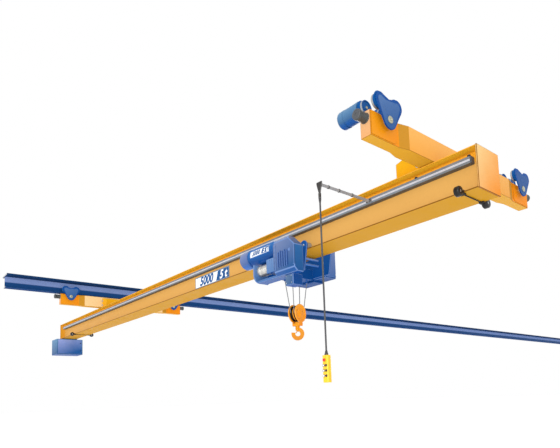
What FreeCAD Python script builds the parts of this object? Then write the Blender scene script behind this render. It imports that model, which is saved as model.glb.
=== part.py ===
"""Underhung single-girder travelling crane on a runway beam, with a low-headroom rope hoist.

Millimetres, +Z up. The origin is on the top face of the runway beam's top flange, on the
beam's centre line, in the girder's centre plane. +X runs along the girder away from the
runway, +Y runs along the runway beam.
"""
import FreeCAD
import Part
import math
import os

V = FreeCAD.Vector
X_AXIS = V(1, 0, 0)
Y_AXIS = V(0, 1, 0)
Z_AXIS = V(0, 0, 1)

# ---- runway beam, an I-section welded from two flanges and a web ----
RUNWAY_HEIGHT = 340.0
RUNWAY_WIDTH = 220.0
RUNWAY_FLANGE = 20.0
RUNWAY_WEB = 12.0
RUNWAY_TOP_WIDTH = 520.0
RUNWAY_TOP_FLANGE = 36.0
RUNWAY_START_Y = -2720.0
RUNWAY_LENGTH = 36000.0

# ---- bridge girder, a welded box whose flanges stand out past its webs ----
GIRDER_LENGTH = 15540.0
GIRDER_OVERHANG = 3820.0
GIRDER_HEIGHT = 500.0
GIRDER_WIDTH = 480.0
GIRDER_FLANGE = 16.0
GIRDER_WEB = 8.0
GIRDER_BOX_WIDTH = 200.0
END_PLATE = 20.0
END_PLATE_LIP = 5.0

# ---- end carriages ----
CARRIAGE_SPAN = 11060.0
CARRIAGE_DROP = 15.0
CARRIAGE_HEIGHT = 290.0
CARRIAGE_WIDTH = 210.0
CARRIAGE_END_WIDTH = 140.0
CARRIAGE_CENTRE_Y = 500.0
CARRIAGE_LENGTH = 3680.0
CARRIAGE_NECK = 490.0
CARRIAGE_TAPER = 150.0
PIVOT_INSET = 260.0
PIVOT_BELOW_TOP = 70.0

# ---- saddles between the carriages and the girder ----
SADDLE_LENGTH = 360.0
SADDLE_WIDTH = 400.0
SADDLE_PLATE = 20.0
SADDLE_END_HEIGHT = 190.0
SADDLE_ROOT_HEIGHT = 255.0

# ---- wheel bogies ----
WHEEL_RADIUS = 85.0
WHEEL_RIM = 15.0
WHEEL_SPACING = 280.0
WHEEL_INNER_X = 62.0
WHEEL_SIDE_GAP = 2.0
RIM_THICKNESS = 8.0
RUNNING_GAP = 0.3
BEARING_GAP = 0.05
AXLE_RADIUS = 18.0
BOGIE_PLATE = 15.0
BOGIE_GAP = 12.0
BOGIE_LOBE_RADIUS = 84.0
BOGIE_FOOT_RADIUS = 108.0
BOGIE_NOTCH_DEPTH = 40.0
PIVOT_RADIUS = 25.0
PIVOT_HEAD_RADIUS = 42.0
PIVOT_HEAD = 14.0

# ---- travel drive and buffers ----
TRAVEL_MOTOR_RADIUS = 105.0
TRAVEL_MOTOR_LENGTH = 300.0
TRAVEL_MOTOR_ROUND = 30.0
BUFFER_RADIUS = 60.0
BUFFER_LENGTH = 150.0
BUFFER_BELOW_TOP = 80.0

# ---- pendant rail, a C-section that is open to the front ----
RAIL_DEPTH = 80.0
RAIL_HEIGHT = 85.0
RAIL_WALL = 6.0
RAIL_SLOT = 26.0
RAIL_BELOW_TOP = 80.0
RAIL_END_INSET = 120.0
RAIL_CLIP = 5.0
RAIL_CLIP_SIZE = 60.0
RAIL_CLIPS = 11

# ---- pendant arm, cable and control ----
PENDANT_X = 10116.0
PENDANT_ARM_LENGTH = 940.0
PENDANT_ARM_RADIUS = 19.0
PENDANT_RUNNER_LENGTH = 90.0
PENDANT_RUNNER_GAP = 5.0
PENDANT_COLLAR = 5.0
PENDANT_COLLAR_SHARES = (0.62, 0.83)
PENDANT_YOKE_DROP = 120.0
PENDANT_YOKE_WIDTH = 90.0
PENDANT_YOKE_BAR = 14.0
PENDANT_YOKE_TOP = 8.0
GLAND_LENGTH = 60.0
GLAND_WALL = 7.0
CABLE_RADIUS = 11.0
CABLE_LENGTH = 1960.0
CONTROL_WIDTH = 90.0
CONTROL_DEPTH = 70.0
CONTROL_HEIGHT = 330.0
CONTROL_ROUND = 18.0

# ---- trolley stops at both ends of the girder ----
NEAR_STOP_INSET = 220.0
FAR_STOP_INSET = 1540.0
STOP_RADIUS = 60.0
STOP_THICKNESS = 70.0
STOP_CLAMP = 10.0
STOP_CLAMP_LENGTH = 60.0
STOP_CLAMP_DEPTH = 50.0
STOP_ROD_RADIUS = 7.0

# ---- control cabinet under the girder's far end ----
CABINET_LENGTH = 600.0
CABINET_WIDTH = 860.0
CABINET_HEIGHT = 530.0
CABINET_OVERHANG = 310.0
CABINET_HANGER = 20.0
CABINET_ROUND = 12.0

# ---- capacity sign on the front web ----
SIGN_LENGTH = 1280.0
SIGN_THICKNESS = 6.0
SIGN_START_X = 5280.0
SIGN_ABOVE_BOTTOM = 70.0
SIGN_BELOW_RAIL = 35.0

# ---- hoist trolley ----
TROLLEY_X = 8350.0
TROLLEY_WHEELBASE = 1020.0
TROLLEY_PLATE = 20.0
TROLLEY_SIDE_GAP = 15.0
TROLLEY_LOBE_RADIUS = 75.0
TROLLEY_PLATE_DROP = 320.0
TROLLEY_WHEEL_RADIUS = 55.0
TROLLEY_RIM = 12.0
TROLLEY_RIM_INNER_GAP = 2.0
TROLLEY_RIM_OUTER_GAP = 3.0
TROLLEY_WHEEL_REACH = 90.0
TROLLEY_AXLE_RADIUS = 15.0
TIE_BAR_RADIUS = 20.0
TIE_BAR_X = 270.0
TIE_BAR_DEPTHS = (45.0, 135.0)

# ---- hoist machinery on the trolley's front side ----
MOTOR_RADIUS = 145.0
MOTOR_GAP = 10.0
MOTOR_ABOVE = 80.0
MOTOR_START = -550.0
MOTOR_CAP_RIM = 10.0
MOTOR_CAP_LENGTH = 240.0
MOTOR_CAP_ROUND = 45.0
GEARBOX_START = 150.0
GEARBOX_LENGTH = 480.0
GEARBOX_DEPTH = 305.0
GEARBOX_SHELL_DEPTH = 185.0
GEARBOX_NECK_LENGTH = 300.0
GEARBOX_BELOW = 390.0
GEARBOX_ABOVE = 200.0
GEARBOX_CHAMFER = 60.0
GEARBOX_SLOPE_LENGTH = 190.0
GEARBOX_SLOPE_DROP = 180.0
DRUM_START = -380.0
DRUM_RADIUS = 95.0
DRUM_GAP = 50.0
DRUM_BELOW = 175.0
CHEEK_PLATE = 25.0
CHEEK_DEPTH = 295.0
CHEEK_BELOW = 380.0
CHEEK_TOP_GAP = 10.0
CHEEK_ROUND = 120.0
GUIDE_LENGTH = 220.0
GUIDE_BELOW = 290.0
GUIDE_TOP_GAP = 7.0
GUIDE_DEPTH = 270.0
GUIDE_GAP = 10.0
GUIDE_BORE_GAP = 3.0
BASE_WIDTH = 200.0
BASE_GAP = 25.0
BASE_THICKNESS = 35.0
BASE_BELOW = 380.0
SWITCH_START = 310.0
SWITCH_LENGTH = 180.0
SWITCH_WIDTH = 190.0
SWITCH_HEIGHT = 170.0

# ---- counterweight and electric box on the trolley's rear side ----
WEIGHT_START = -280.0
WEIGHT_LENGTH = 430.0
WEIGHT_DEPTH = 225.0
WEIGHT_BELOW = 370.0
WEIGHT_ABOVE = 110.0
ELECTRIC_LENGTH = 260.0
ELECTRIC_DEPTH = 250.0
ELECTRIC_BELOW = 340.0
ELECTRIC_ABOVE = 200.0
ELECTRIC_ROUND = 15.0

# ---- rope frame, rope falls, hook block and hook ----
ROPE_FRAME_LENGTH = 280.0
ROPE_FRAME_BELOW = (165.0, 340.0)
ROPE_FRAME_WALL = 14.0
SOCKET_RADIUS = 17.0
SOCKET_LENGTH = 40.0
ROPE_RADIUS = 7.0
ROPE_TOP_X = 76.0
ROPE_TOP_Y = 196.0
SHEAVE_RADIUS = 132.0
SHEAVE_GROOVE = 14.0
SHEAVE_THICKNESS = 36.0
SHEAVE_GROOVE_WIDTH = 24.0
SHEAVE_PIN_RADIUS = 22.0
BLOCK_BELOW = 900.0
BLOCK_RIM = 20.0
BLOCK_PLATE = 20.0
BLOCK_MID_PLATE = 24.0
BLOCK_SIDE_GAP = 4.0
BLOCK_MID_GAP = 4.0
BLOCK_TURN = 12.0
CROSSHEAD_GAP = 30.0
CROSSHEAD_HEIGHT = 45.0
CROSSHEAD_DEPTH = 90.0
SHANK_RADIUS = 28.0
SHANK_COLLAR = 8.0
HOOK_NUT_RADIUS = 42.0
HOOK_NUT_HEIGHT = 20.0
HOOK_EYE_BELOW_HEAD = 128.0
HOOK_EYE_RADIUS = 41.0
HOOK_OUTER_RADIUS = 105.0
HOOK_THICKNESS = 56.0
HOOK_THROAT_START = 0.35
HOOK_THROAT_RISE = 0.1
HOOK_NECK_OVERLAP = 15.0
HOOK_TURN = 49.0
CUT_MARGIN = 5.0

# ---- levels worked out from the values above ----
RUNWAY_BOTTOM = -RUNWAY_HEIGHT
RUNWAY_TREAD = RUNWAY_BOTTOM + RUNWAY_FLANGE
CARRIAGE_TOP = RUNWAY_BOTTOM - CARRIAGE_DROP
CARRIAGE_BOTTOM = CARRIAGE_TOP - CARRIAGE_HEIGHT
SADDLE_PAD = 10.0
GIRDER_TOP = CARRIAGE_BOTTOM - SADDLE_PAD
GIRDER_BOTTOM = GIRDER_TOP - GIRDER_HEIGHT
GIRDER_FAR_X = -GIRDER_OVERHANG
GIRDER_NEAR_X = GIRDER_FAR_X + GIRDER_LENGTH
WEB_FACE = GIRDER_BOX_WIDTH / 2
TROLLEY_TREAD = GIRDER_BOTTOM + GIRDER_FLANGE
TROLLEY_SIDE = GIRDER_WIDTH / 2 + TROLLEY_SIDE_GAP
TROLLEY_OUTER = TROLLEY_SIDE + TROLLEY_PLATE
PIVOT_Z = CARRIAGE_TOP - PIVOT_BELOW_TOP
WHEEL_Z = RUNWAY_TREAD + RUNNING_GAP + WHEEL_RADIUS
BOGIE_INNER = RUNWAY_WIDTH / 2 + BOGIE_GAP
BOGIE_OUTER = BOGIE_INNER + BOGIE_PLATE
CARRIAGES = {"near": CARRIAGE_SPAN, "far": 0.0}
STOPS = (GIRDER_FAR_X + FAR_STOP_INSET, GIRDER_NEAR_X - NEAR_STOP_INSET)
PIVOT_REACH = CARRIAGE_LENGTH / 2 - PIVOT_INSET
PIVOTS = {"front": CARRIAGE_CENTRE_Y - PIVOT_REACH, "rear": CARRIAGE_CENTRE_Y + PIVOT_REACH}
RAIL_TOP = GIRDER_TOP - RAIL_BELOW_TOP
RAIL_LOW = RAIL_TOP - RAIL_HEIGHT
RAIL_MID = (RAIL_TOP + RAIL_LOW) / 2
RAIL_BACK = -WEB_FACE - RAIL_CLIP
RAIL_FRONT = RAIL_BACK - RAIL_DEPTH
TROLLEY_WHEEL_Z = TROLLEY_TREAD + RUNNING_GAP + TROLLEY_WHEEL_RADIUS
TROLLEY_WHEEL_INNER_Y = GIRDER_WIDTH / 2 - TROLLEY_WHEEL_REACH
MOTOR_Z = GIRDER_BOTTOM + MOTOR_ABOVE
MOTOR_Y = -TROLLEY_OUTER - MOTOR_GAP - MOTOR_RADIUS
DRUM_Z = GIRDER_BOTTOM - DRUM_BELOW
DRUM_Y = -TROLLEY_OUTER - DRUM_GAP - DRUM_RADIUS
DRUM_TOP_LIMIT = MOTOR_Z - MOTOR_RADIUS - MOTOR_CAP_RIM
BLOCK_Z = GIRDER_BOTTOM - BLOCK_BELOW
SHEAVE_GROOVE_RADIUS = SHEAVE_RADIUS - SHEAVE_GROOVE
SHEAVE_X = BLOCK_MID_PLATE / 2 + BLOCK_MID_GAP + SHEAVE_THICKNESS / 2
BLOCK_INNER_X = SHEAVE_X + SHEAVE_THICKNESS / 2 + BLOCK_SIDE_GAP
BLOCK_OUTER_X = BLOCK_INNER_X + BLOCK_PLATE
CROSSHEAD_TOP = BLOCK_Z - SHEAVE_RADIUS - CROSSHEAD_GAP
CROSSHEAD_LOW = CROSSHEAD_TOP - CROSSHEAD_HEIGHT


def box(x0, x1, y0, y1, z0, z1):
    """A box between two corners, given in any order."""
    low = V(min(x0, x1), min(y0, y1), min(z0, z1))
    return Part.makeBox(abs(x1 - x0), abs(y1 - y0), abs(z1 - z0), low)


def rod(radius, start, end):
    """A round bar from one point to another."""
    along = end.sub(start)
    return Part.makeCylinder(radius, along.Length, start, along)


def prism(points, along):
    """A straight extrusion of a closed outline of straight edges."""
    return Part.Face(Part.makePolygon(points + [points[0]])).extrude(along)


def fuse(pieces):
    """One solid from pieces that touch, with its seams merged."""
    joined = pieces[0].fuse(pieces[1:])
    return joined.removeSplitter()


def rounded(shape, radius, test):
    """Round the edges that the test picks."""
    return shape.makeFillet(radius, [edge for edge in shape.Edges if test(edge)])


def runs_along(edge, axis):
    """True where a straight edge is parallel to an axis."""
    if len(edge.Vertexes) != 2:
        return False
    along = edge.Vertexes[1].Point.sub(edge.Vertexes[0].Point)
    return along.Length > 0 and abs(along.normalize().dot(axis)) > 0.999


# ---------------------------------------------------------------- runway
def runway_plate(width, low, top):
    """One of the beam's three plates, over the beam's whole length."""
    return box(-width / 2, width / 2, RUNWAY_START_Y, RUNWAY_START_Y + RUNWAY_LENGTH, low, top)


# ---------------------------------------------------------------- girder
def girder_flange(z0):
    half = GIRDER_WIDTH / 2
    return box(GIRDER_FAR_X + END_PLATE, GIRDER_NEAR_X - END_PLATE, -half, half,
               z0, z0 + GIRDER_FLANGE)


def girder_webs():
    """The front and rear web of the box."""
    return Part.makeCompound([
        box(GIRDER_FAR_X + END_PLATE, GIRDER_NEAR_X - END_PLATE,
            side * (WEB_FACE - GIRDER_WEB), side * WEB_FACE,
            GIRDER_BOTTOM + GIRDER_FLANGE, GIRDER_TOP - GIRDER_FLANGE) for side in (-1, 1)])


def girder_end_plates():
    """Plates that close both ends of the girder and stand out past it all round."""
    half = GIRDER_WIDTH / 2 + END_PLATE_LIP
    return Part.makeCompound([
        box(x0, x0 + END_PLATE, -half, half, GIRDER_BOTTOM - END_PLATE_LIP, GIRDER_TOP + END_PLATE_LIP)
        for x0 in (GIRDER_FAR_X, GIRDER_NEAR_X - END_PLATE)])


def capacity_sign():
    return box(SIGN_START_X, SIGN_START_X + SIGN_LENGTH, -WEB_FACE - SIGN_THICKNESS, -WEB_FACE,
               GIRDER_BOTTOM + SIGN_ABOVE_BOTTOM, RAIL_LOW - SIGN_BELOW_RAIL)


# ---------------------------------------------------------------- end carriages
def carriage_beam(x):
    """A box beam, wide in the middle and tapered to its narrow wheel ends."""
    wide = CARRIAGE_WIDTH / 2
    narrow = CARRIAGE_END_WIDTH / 2
    long_y = CARRIAGE_LENGTH / 2
    taper_y = long_y - CARRIAGE_NECK
    wide_y = taper_y - CARRIAGE_TAPER
    quarter = [(narrow, long_y), (narrow, taper_y), (wide, wide_y)]
    outline = [(px, -py) for px, py in quarter]
    outline += [(px, py) for px, py in reversed(quarter)]
    outline += [(-px, py) for px, py in quarter]
    outline += [(-px, -py) for px, py in reversed(quarter)]
    points = [V(x + px, CARRIAGE_CENTRE_Y + py, CARRIAGE_BOTTOM) for px, py in outline]
    beam = prism(points, V(0, 0, CARRIAGE_HEIGHT))
    for pivot_y in PIVOTS.values():
        beam = beam.cut(rod(PIVOT_RADIUS + BEARING_GAP, V(x - wide, pivot_y, PIVOT_Z),
                            V(x + wide, pivot_y, PIVOT_Z)))
    return beam


def carriage_buffers():
    """Round rubber buffers on the ends of both carriages."""
    z = CARRIAGE_TOP - BUFFER_BELOW_TOP
    buffers = []
    for x in CARRIAGES.values():
        for side in (-1, 1):
            start = V(x, CARRIAGE_CENTRE_Y + side * CARRIAGE_LENGTH / 2, z)
            buffers.append(rod(BUFFER_RADIUS, start, start + V(0, side * BUFFER_LENGTH, 0)))
    return Part.makeCompound(buffers)


def saddle(x, inward):
    """A welded seat under a carriage that carries on along the girder's top, inward."""
    root = x + inward * CARRIAGE_WIDTH / 2
    tip = root + inward * SADDLE_LENGTH
    half = SADDLE_WIDTH / 2
    pad = box(x - inward * CARRIAGE_WIDTH / 2, tip, -half, half, GIRDER_TOP, CARRIAGE_BOTTOM)
    base = CARRIAGE_BOTTOM
    knee = tip - inward * SADDLE_LENGTH / 3
    knee_height = SADDLE_END_HEIGHT + (SADDLE_ROOT_HEIGHT - SADDLE_END_HEIGHT) / 2
    side_outline = [(root, base), (tip, base), (tip, base + SADDLE_END_HEIGHT),
                    (knee, base + knee_height), (root, base + SADDLE_ROOT_HEIGHT)]
    pieces = [pad]
    for y0 in (-half, half - SADDLE_PLATE):
        pieces.append(prism([V(px, y0, pz) for px, pz in side_outline], V(0, SADDLE_PLATE, 0)))
    pieces.append(box(tip, tip - inward * SADDLE_PLATE, -half, half, base, base + SADDLE_END_HEIGHT))
    lid = [(tip, base + SADDLE_END_HEIGHT), (knee, base + knee_height),
           (root, base + SADDLE_ROOT_HEIGHT), (root, base + SADDLE_ROOT_HEIGHT - SADDLE_PLATE),
           (knee, base + knee_height - SADDLE_PLATE), (tip, base + SADDLE_END_HEIGHT - SADDLE_PLATE)]
    pieces.append(prism([V(px, -half, pz) for px, pz in lid], V(0, SADDLE_WIDTH, 0)))
    return fuse(pieces)


# ---------------------------------------------------------------- wheel bogies
def bogie_faces(pivot_y):
    """Overlapping faces that make a heart: two lobes over the wheels and a foot round the pivot."""
    foot = V(0, pivot_y, PIVOT_Z)
    faces = [Part.Face(Part.Wire(Part.makeCircle(BOGIE_FOOT_RADIUS, foot, X_AXIS)))]
    for side in (-1, 1):
        lobe = V(0, pivot_y + side * WHEEL_SPACING / 2, WHEEL_Z)
        faces.append(Part.Face(Part.Wire(Part.makeCircle(BOGIE_LOBE_RADIUS, lobe, X_AXIS))))
        faces.append(tangent_band(foot, BOGIE_FOOT_RADIUS, lobe, BOGIE_LOBE_RADIUS))
    notch = WHEEL_Z + BOGIE_LOBE_RADIUS - BOGIE_NOTCH_DEPTH
    half = WHEEL_SPACING / 2
    faces.append(Part.Face(Part.makePolygon([
        V(0, pivot_y - half, WHEEL_Z + BOGIE_LOBE_RADIUS), V(0, pivot_y, notch),
        V(0, pivot_y + half, WHEEL_Z + BOGIE_LOBE_RADIUS), V(0, pivot_y, PIVOT_Z),
        V(0, pivot_y - half, WHEEL_Z + BOGIE_LOBE_RADIUS)])))
    return faces


def tangent_band(first, first_radius, second, second_radius):
    """The four-sided face between two circles' outer tangents, in a plane of constant X."""
    along = second.sub(first)
    turn = math.acos((first_radius - second_radius) / along.Length)
    heading = math.atan2(along.z, along.y)
    points = []
    for side in (1, -1):
        angle = heading + side * turn
        offset = V(0, math.cos(angle), math.sin(angle))
        pair = [first + offset * first_radius, second + offset * second_radius]
        points += pair if side > 0 else pair[::-1]
    return Part.Face(Part.makePolygon(points + [points[0]]))


def bogie_sides():
    """Each side of each bogie: the carriage's X, the side and the pivot's Y."""
    return [(x, side, pivot_y) for x in CARRIAGES.values() for side in (-1, 1)
            for pivot_y in PIVOTS.values()]


def bogie_plates():
    """The heart-shaped side plates of the four bogies."""
    plates = []
    for x, side, pivot_y in bogie_sides():
        thickness = V(side * BOGIE_PLATE, 0, 0)
        plate = fuse([face.extrude(thickness) for face in bogie_faces(pivot_y)])
        plate.translate(V(x + side * BOGIE_INNER, 0, 0))
        hole_start = V(x + side * BOGIE_INNER, pivot_y, PIVOT_Z)
        plates.append(plate.cut(rod(PIVOT_RADIUS + BEARING_GAP, hole_start, hole_start + thickness)))
    return Part.makeCompound(plates)


def wheel_axles():
    """Stub axles that stand inward from the bogie plates, one for each wheel."""
    axles = []
    for x, side, pivot_y in bogie_sides():
        for wheel_side in (-1, 1):
            wheel_y = pivot_y + wheel_side * WHEEL_SPACING / 2
            axles.append(rod(AXLE_RADIUS, V(x + side * WHEEL_INNER_X, wheel_y, WHEEL_Z),
                             V(x + side * BOGIE_INNER, wheel_y, WHEEL_Z)))
    return Part.makeCompound(axles)


def pivot_spacers():
    """Rings on the pivot pins between the carriages' ends and the bogie plates."""
    rings = []
    for x, side, pivot_y in bogie_sides():
        start = V(x + side * CARRIAGE_END_WIDTH / 2, pivot_y, PIVOT_Z)
        end = V(x + side * BOGIE_INNER, pivot_y, PIVOT_Z)
        rings.append(rod(PIVOT_HEAD_RADIUS, start, end).cut(rod(PIVOT_RADIUS + BEARING_GAP, start, end)))
    return Part.makeCompound(rings)


def pivot_pin(x, pivot_y):
    """A pin that carries a bogie, with a round head at each end."""
    reach = BOGIE_OUTER + PIVOT_HEAD
    pieces = [rod(PIVOT_RADIUS, V(x - reach, pivot_y, PIVOT_Z), V(x + reach, pivot_y, PIVOT_Z))]
    for side in (-1, 1):
        pieces.append(rod(PIVOT_HEAD_RADIUS, V(x + side * BOGIE_OUTER, pivot_y, PIVOT_Z),
                          V(x + side * reach, pivot_y, PIVOT_Z)))
    return fuse(pieces)


def pivot_pins():
    return Part.makeCompound([pivot_pin(x, pivot_y)
                              for x in CARRIAGES.values() for pivot_y in PIVOTS.values()])


def wheel(inner, rim_start, rim_end, radius, rim, bore):
    """A wheel's body and, pressed on its outer end, the ring that guides it along the flange."""
    body = rod(radius, inner, rim_end).cut(rod(bore, inner, rim_end))
    ring = rod(radius + rim, rim_start, rim_end).cut(rod(radius + BEARING_GAP, rim_start, rim_end))
    return [body, ring]


def wheel_row(wheel_y):
    """The four wheels that turn about one line: two on each carriage."""
    pieces = []
    for x in CARRIAGES.values():
        for side in (-1, 1):
            inner = V(x + side * WHEEL_INNER_X, wheel_y, WHEEL_Z)
            rim_end = V(x + side * (BOGIE_INNER - WHEEL_SIDE_GAP), wheel_y, WHEEL_Z)
            rim_start = rim_end - V(side * RIM_THICKNESS, 0, 0)
            pieces += wheel(inner, rim_start, rim_end, WHEEL_RADIUS, WHEEL_RIM, AXLE_RADIUS + BEARING_GAP)
    return Part.makeCompound(pieces)


def travel_motor(x, wheel_y):
    """Drive motor on the inner side plate, in line with a wheel."""
    start = V(x - BOGIE_OUTER, wheel_y, WHEEL_Z)
    body = rod(TRAVEL_MOTOR_RADIUS, start, start - V(TRAVEL_MOTOR_LENGTH, 0, 0))
    end_x = start.x - TRAVEL_MOTOR_LENGTH
    return rounded(body, TRAVEL_MOTOR_ROUND,
                   lambda edge: abs(edge.BoundBox.XMax - end_x) < 1 and edge.BoundBox.XLength < 1)


# ---------------------------------------------------------------- pendant rail and arm
def pendant_rail():
    x0 = GIRDER_FAR_X + RAIL_END_INSET
    x1 = GIRDER_NEAR_X - RAIL_END_INSET
    shell = box(x0, x1, RAIL_FRONT, RAIL_BACK, RAIL_LOW, RAIL_TOP)
    hollow = box(x0, x1, RAIL_FRONT + RAIL_WALL, RAIL_BACK - RAIL_WALL,
                 RAIL_LOW + RAIL_WALL, RAIL_TOP - RAIL_WALL)
    slot = box(x0, x1, RAIL_FRONT, RAIL_FRONT + RAIL_WALL,
               RAIL_MID - RAIL_SLOT / 2, RAIL_MID + RAIL_SLOT / 2)
    return shell.cut(hollow).cut(slot)


def rail_clips():
    """Pads that hold the rail to the front web."""
    first = GIRDER_FAR_X + RAIL_END_INSET + RAIL_CLIP_SIZE
    last = GIRDER_NEAR_X - RAIL_END_INSET - RAIL_CLIP_SIZE
    half = RAIL_CLIP_SIZE / 2
    clips = []
    for index in range(RAIL_CLIPS):
        x = first + (last - first) * index / (RAIL_CLIPS - 1)
        clips.append(box(x - half, x + half, RAIL_BACK, -WEB_FACE, RAIL_MID - half, RAIL_MID + half))
    return Part.makeCompound(clips)


def pendant_runner():
    """The slider inside the rail, with the neck that comes out through the slot."""
    x0 = PENDANT_X - PENDANT_RUNNER_LENGTH / 2
    x1 = x0 + PENDANT_RUNNER_LENGTH
    inset = RAIL_WALL + PENDANT_RUNNER_GAP
    slider = box(x0, x1, RAIL_FRONT + inset, RAIL_BACK - inset,
                 RAIL_LOW + RAIL_WALL + RUNNING_GAP, RAIL_TOP - inset)
    neck_half = RAIL_SLOT / 2 - PENDANT_RUNNER_GAP
    neck = box(x0, x1, RAIL_FRONT - inset, RAIL_FRONT + inset, RAIL_MID - neck_half, RAIL_MID + neck_half)
    face = box(x0, x1, RAIL_FRONT - inset - RAIL_WALL, RAIL_FRONT - inset,
               RAIL_MID - RAIL_SLOT, RAIL_MID + RAIL_SLOT)
    return fuse([slider, neck, face])


def pendant_arm():
    start = V(PENDANT_X, RAIL_FRONT - 2 * RAIL_WALL - PENDANT_RUNNER_GAP, RAIL_MID)
    end = V(PENDANT_X, RAIL_FRONT - PENDANT_ARM_LENGTH, RAIL_MID)
    pieces = [rod(PENDANT_ARM_RADIUS, start, end)]
    for share in PENDANT_COLLAR_SHARES:
        collar = start + (end - start) * share
        pieces.append(rod(PENDANT_ARM_RADIUS + PENDANT_COLLAR, collar, collar - V(0, PENDANT_YOKE_BAR, 0)))
    return fuse(pieces)


def pendant_yoke():
    """A triangular ring round the arm's end that the cable hangs from."""
    y0 = RAIL_FRONT - PENDANT_ARM_LENGTH - PENDANT_YOKE_BAR
    half = PENDANT_YOKE_WIDTH / 2
    ring_top = RAIL_MID + PENDANT_ARM_RADIUS + PENDANT_YOKE_TOP
    foot = RAIL_MID - PENDANT_YOKE_DROP
    outer = [V(PENDANT_X - half, y0, ring_top), V(PENDANT_X + half, y0, ring_top),
             V(PENDANT_X + half, y0, RAIL_MID), V(PENDANT_X + CABLE_RADIUS, y0, foot),
             V(PENDANT_X - CABLE_RADIUS, y0, foot), V(PENDANT_X - half, y0, RAIL_MID)]
    plate = prism(outer, V(0, PENDANT_YOKE_BAR, 0))
    cable_top = cable_ends()[0]
    gland = rod(CABLE_RADIUS + GLAND_WALL, cable_top + V(0, 0, GLAND_LENGTH), cable_top)
    return fuse([plate, gland])


def cable_ends():
    top = V(PENDANT_X, RAIL_FRONT - PENDANT_ARM_LENGTH - PENDANT_YOKE_BAR / 2,
            RAIL_MID - PENDANT_YOKE_DROP - GLAND_LENGTH)
    return top, top - V(0, 0, CABLE_LENGTH)


def pendant_cable():
    top, bottom = cable_ends()
    return rod(CABLE_RADIUS, top, bottom)


def pendant_control():
    """The push-button control at the cable's lower end."""
    _, bottom = cable_ends()
    body = box(bottom.x - CONTROL_WIDTH / 2, bottom.x + CONTROL_WIDTH / 2,
               bottom.y - CONTROL_DEPTH / 2, bottom.y + CONTROL_DEPTH / 2,
               bottom.z - CONTROL_HEIGHT, bottom.z)
    return rounded(body, CONTROL_ROUND, lambda edge: runs_along(edge, Z_AXIS))


# ---------------------------------------------------------------- trolley stops and cabinet
def stop_clamp(x):
    """Clamps round both edges of the bottom flange, tied by a rod under it."""
    half = GIRDER_WIDTH / 2
    x0 = x - STOP_CLAMP_LENGTH / 2
    x1 = x + STOP_CLAMP_LENGTH / 2
    pieces = []
    for side in (-1, 1):
        inner = side * (half - STOP_CLAMP_DEPTH)
        outer = side * (half + STOP_CLAMP)
        wrap = box(x0, x1, inner, outer, GIRDER_BOTTOM - 2 * STOP_CLAMP, TROLLEY_TREAD + STOP_CLAMP)
        pieces.append(wrap.cut(box(x0, x1, inner, side * half, GIRDER_BOTTOM, TROLLEY_TREAD)))
    z = GIRDER_BOTTOM - STOP_CLAMP
    reach = half - STOP_CLAMP_DEPTH / 2
    pieces.append(rod(STOP_ROD_RADIUS, V(x, -reach, z), V(x, reach, z)))
    return fuse(pieces)


def stop_buffers():
    """Rubber discs outside the clamps, facing along the girder."""
    discs = []
    half = STOP_THICKNESS / 2
    for x in STOPS:
        for side in (-1, 1):
            y = side * (GIRDER_WIDTH / 2 + STOP_CLAMP + STOP_RADIUS)
            discs.append(rod(STOP_RADIUS, V(x - half, y, GIRDER_BOTTOM), V(x + half, y, GIRDER_BOTTOM)))
    return Part.makeCompound(discs)


def cabinet():
    x0 = GIRDER_FAR_X - CABINET_OVERHANG
    top = GIRDER_BOTTOM - CABINET_HANGER
    body = box(x0, x0 + CABINET_LENGTH, -CABINET_WIDTH / 2, CABINET_WIDTH / 2,
               top - CABINET_HEIGHT, top)
    return rounded(body, CABINET_ROUND, lambda edge: runs_along(edge, Z_AXIS))


def cabinet_hanger():
    x0 = GIRDER_FAR_X + END_PLATE
    x1 = GIRDER_FAR_X - CABINET_OVERHANG + CABINET_LENGTH
    half = GIRDER_WIDTH / 2
    return box(x0, x1, -half, half, GIRDER_BOTTOM - CABINET_HANGER, GIRDER_BOTTOM)


# ---------------------------------------------------------------- trolley
def trolley_side_plates():
    """The front and rear side plate, each with a rounded lobe over its two wheels."""
    bottom = GIRDER_BOTTOM - TROLLEY_PLATE_DROP
    half = TROLLEY_WHEELBASE / 2
    outer = half + TROLLEY_LOBE_RADIUS
    body = [(-outer, TROLLEY_WHEEL_Z), (outer, TROLLEY_WHEEL_Z), (half, bottom), (-half, bottom)]
    plates = []
    for side in (-1, 1):
        inner = side * TROLLEY_SIDE
        along = V(0, side * TROLLEY_PLATE, 0)
        pieces = [prism([V(TROLLEY_X + px, inner, pz) for px, pz in body], along)]
        for end in (-1, 1):
            centre = V(TROLLEY_X + end * half, inner, TROLLEY_WHEEL_Z)
            pieces.append(rod(TROLLEY_LOBE_RADIUS, centre, centre + along))
        plates.append(fuse(pieces))
    return Part.makeCompound(plates)


def trolley_wheel_places():
    """Each trolley wheel's line along the girder and its side."""
    half = TROLLEY_WHEELBASE / 2
    return [(x, side) for x in (TROLLEY_X - half, TROLLEY_X + half) for side in (-1, 1)]


def trolley_axles():
    """Stub axles that stand inward from the side plates, one for each wheel."""
    return Part.makeCompound([
        rod(TROLLEY_AXLE_RADIUS, V(x, side * TROLLEY_WHEEL_INNER_Y, TROLLEY_WHEEL_Z),
            V(x, side * TROLLEY_SIDE, TROLLEY_WHEEL_Z)) for x, side in trolley_wheel_places()])


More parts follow.
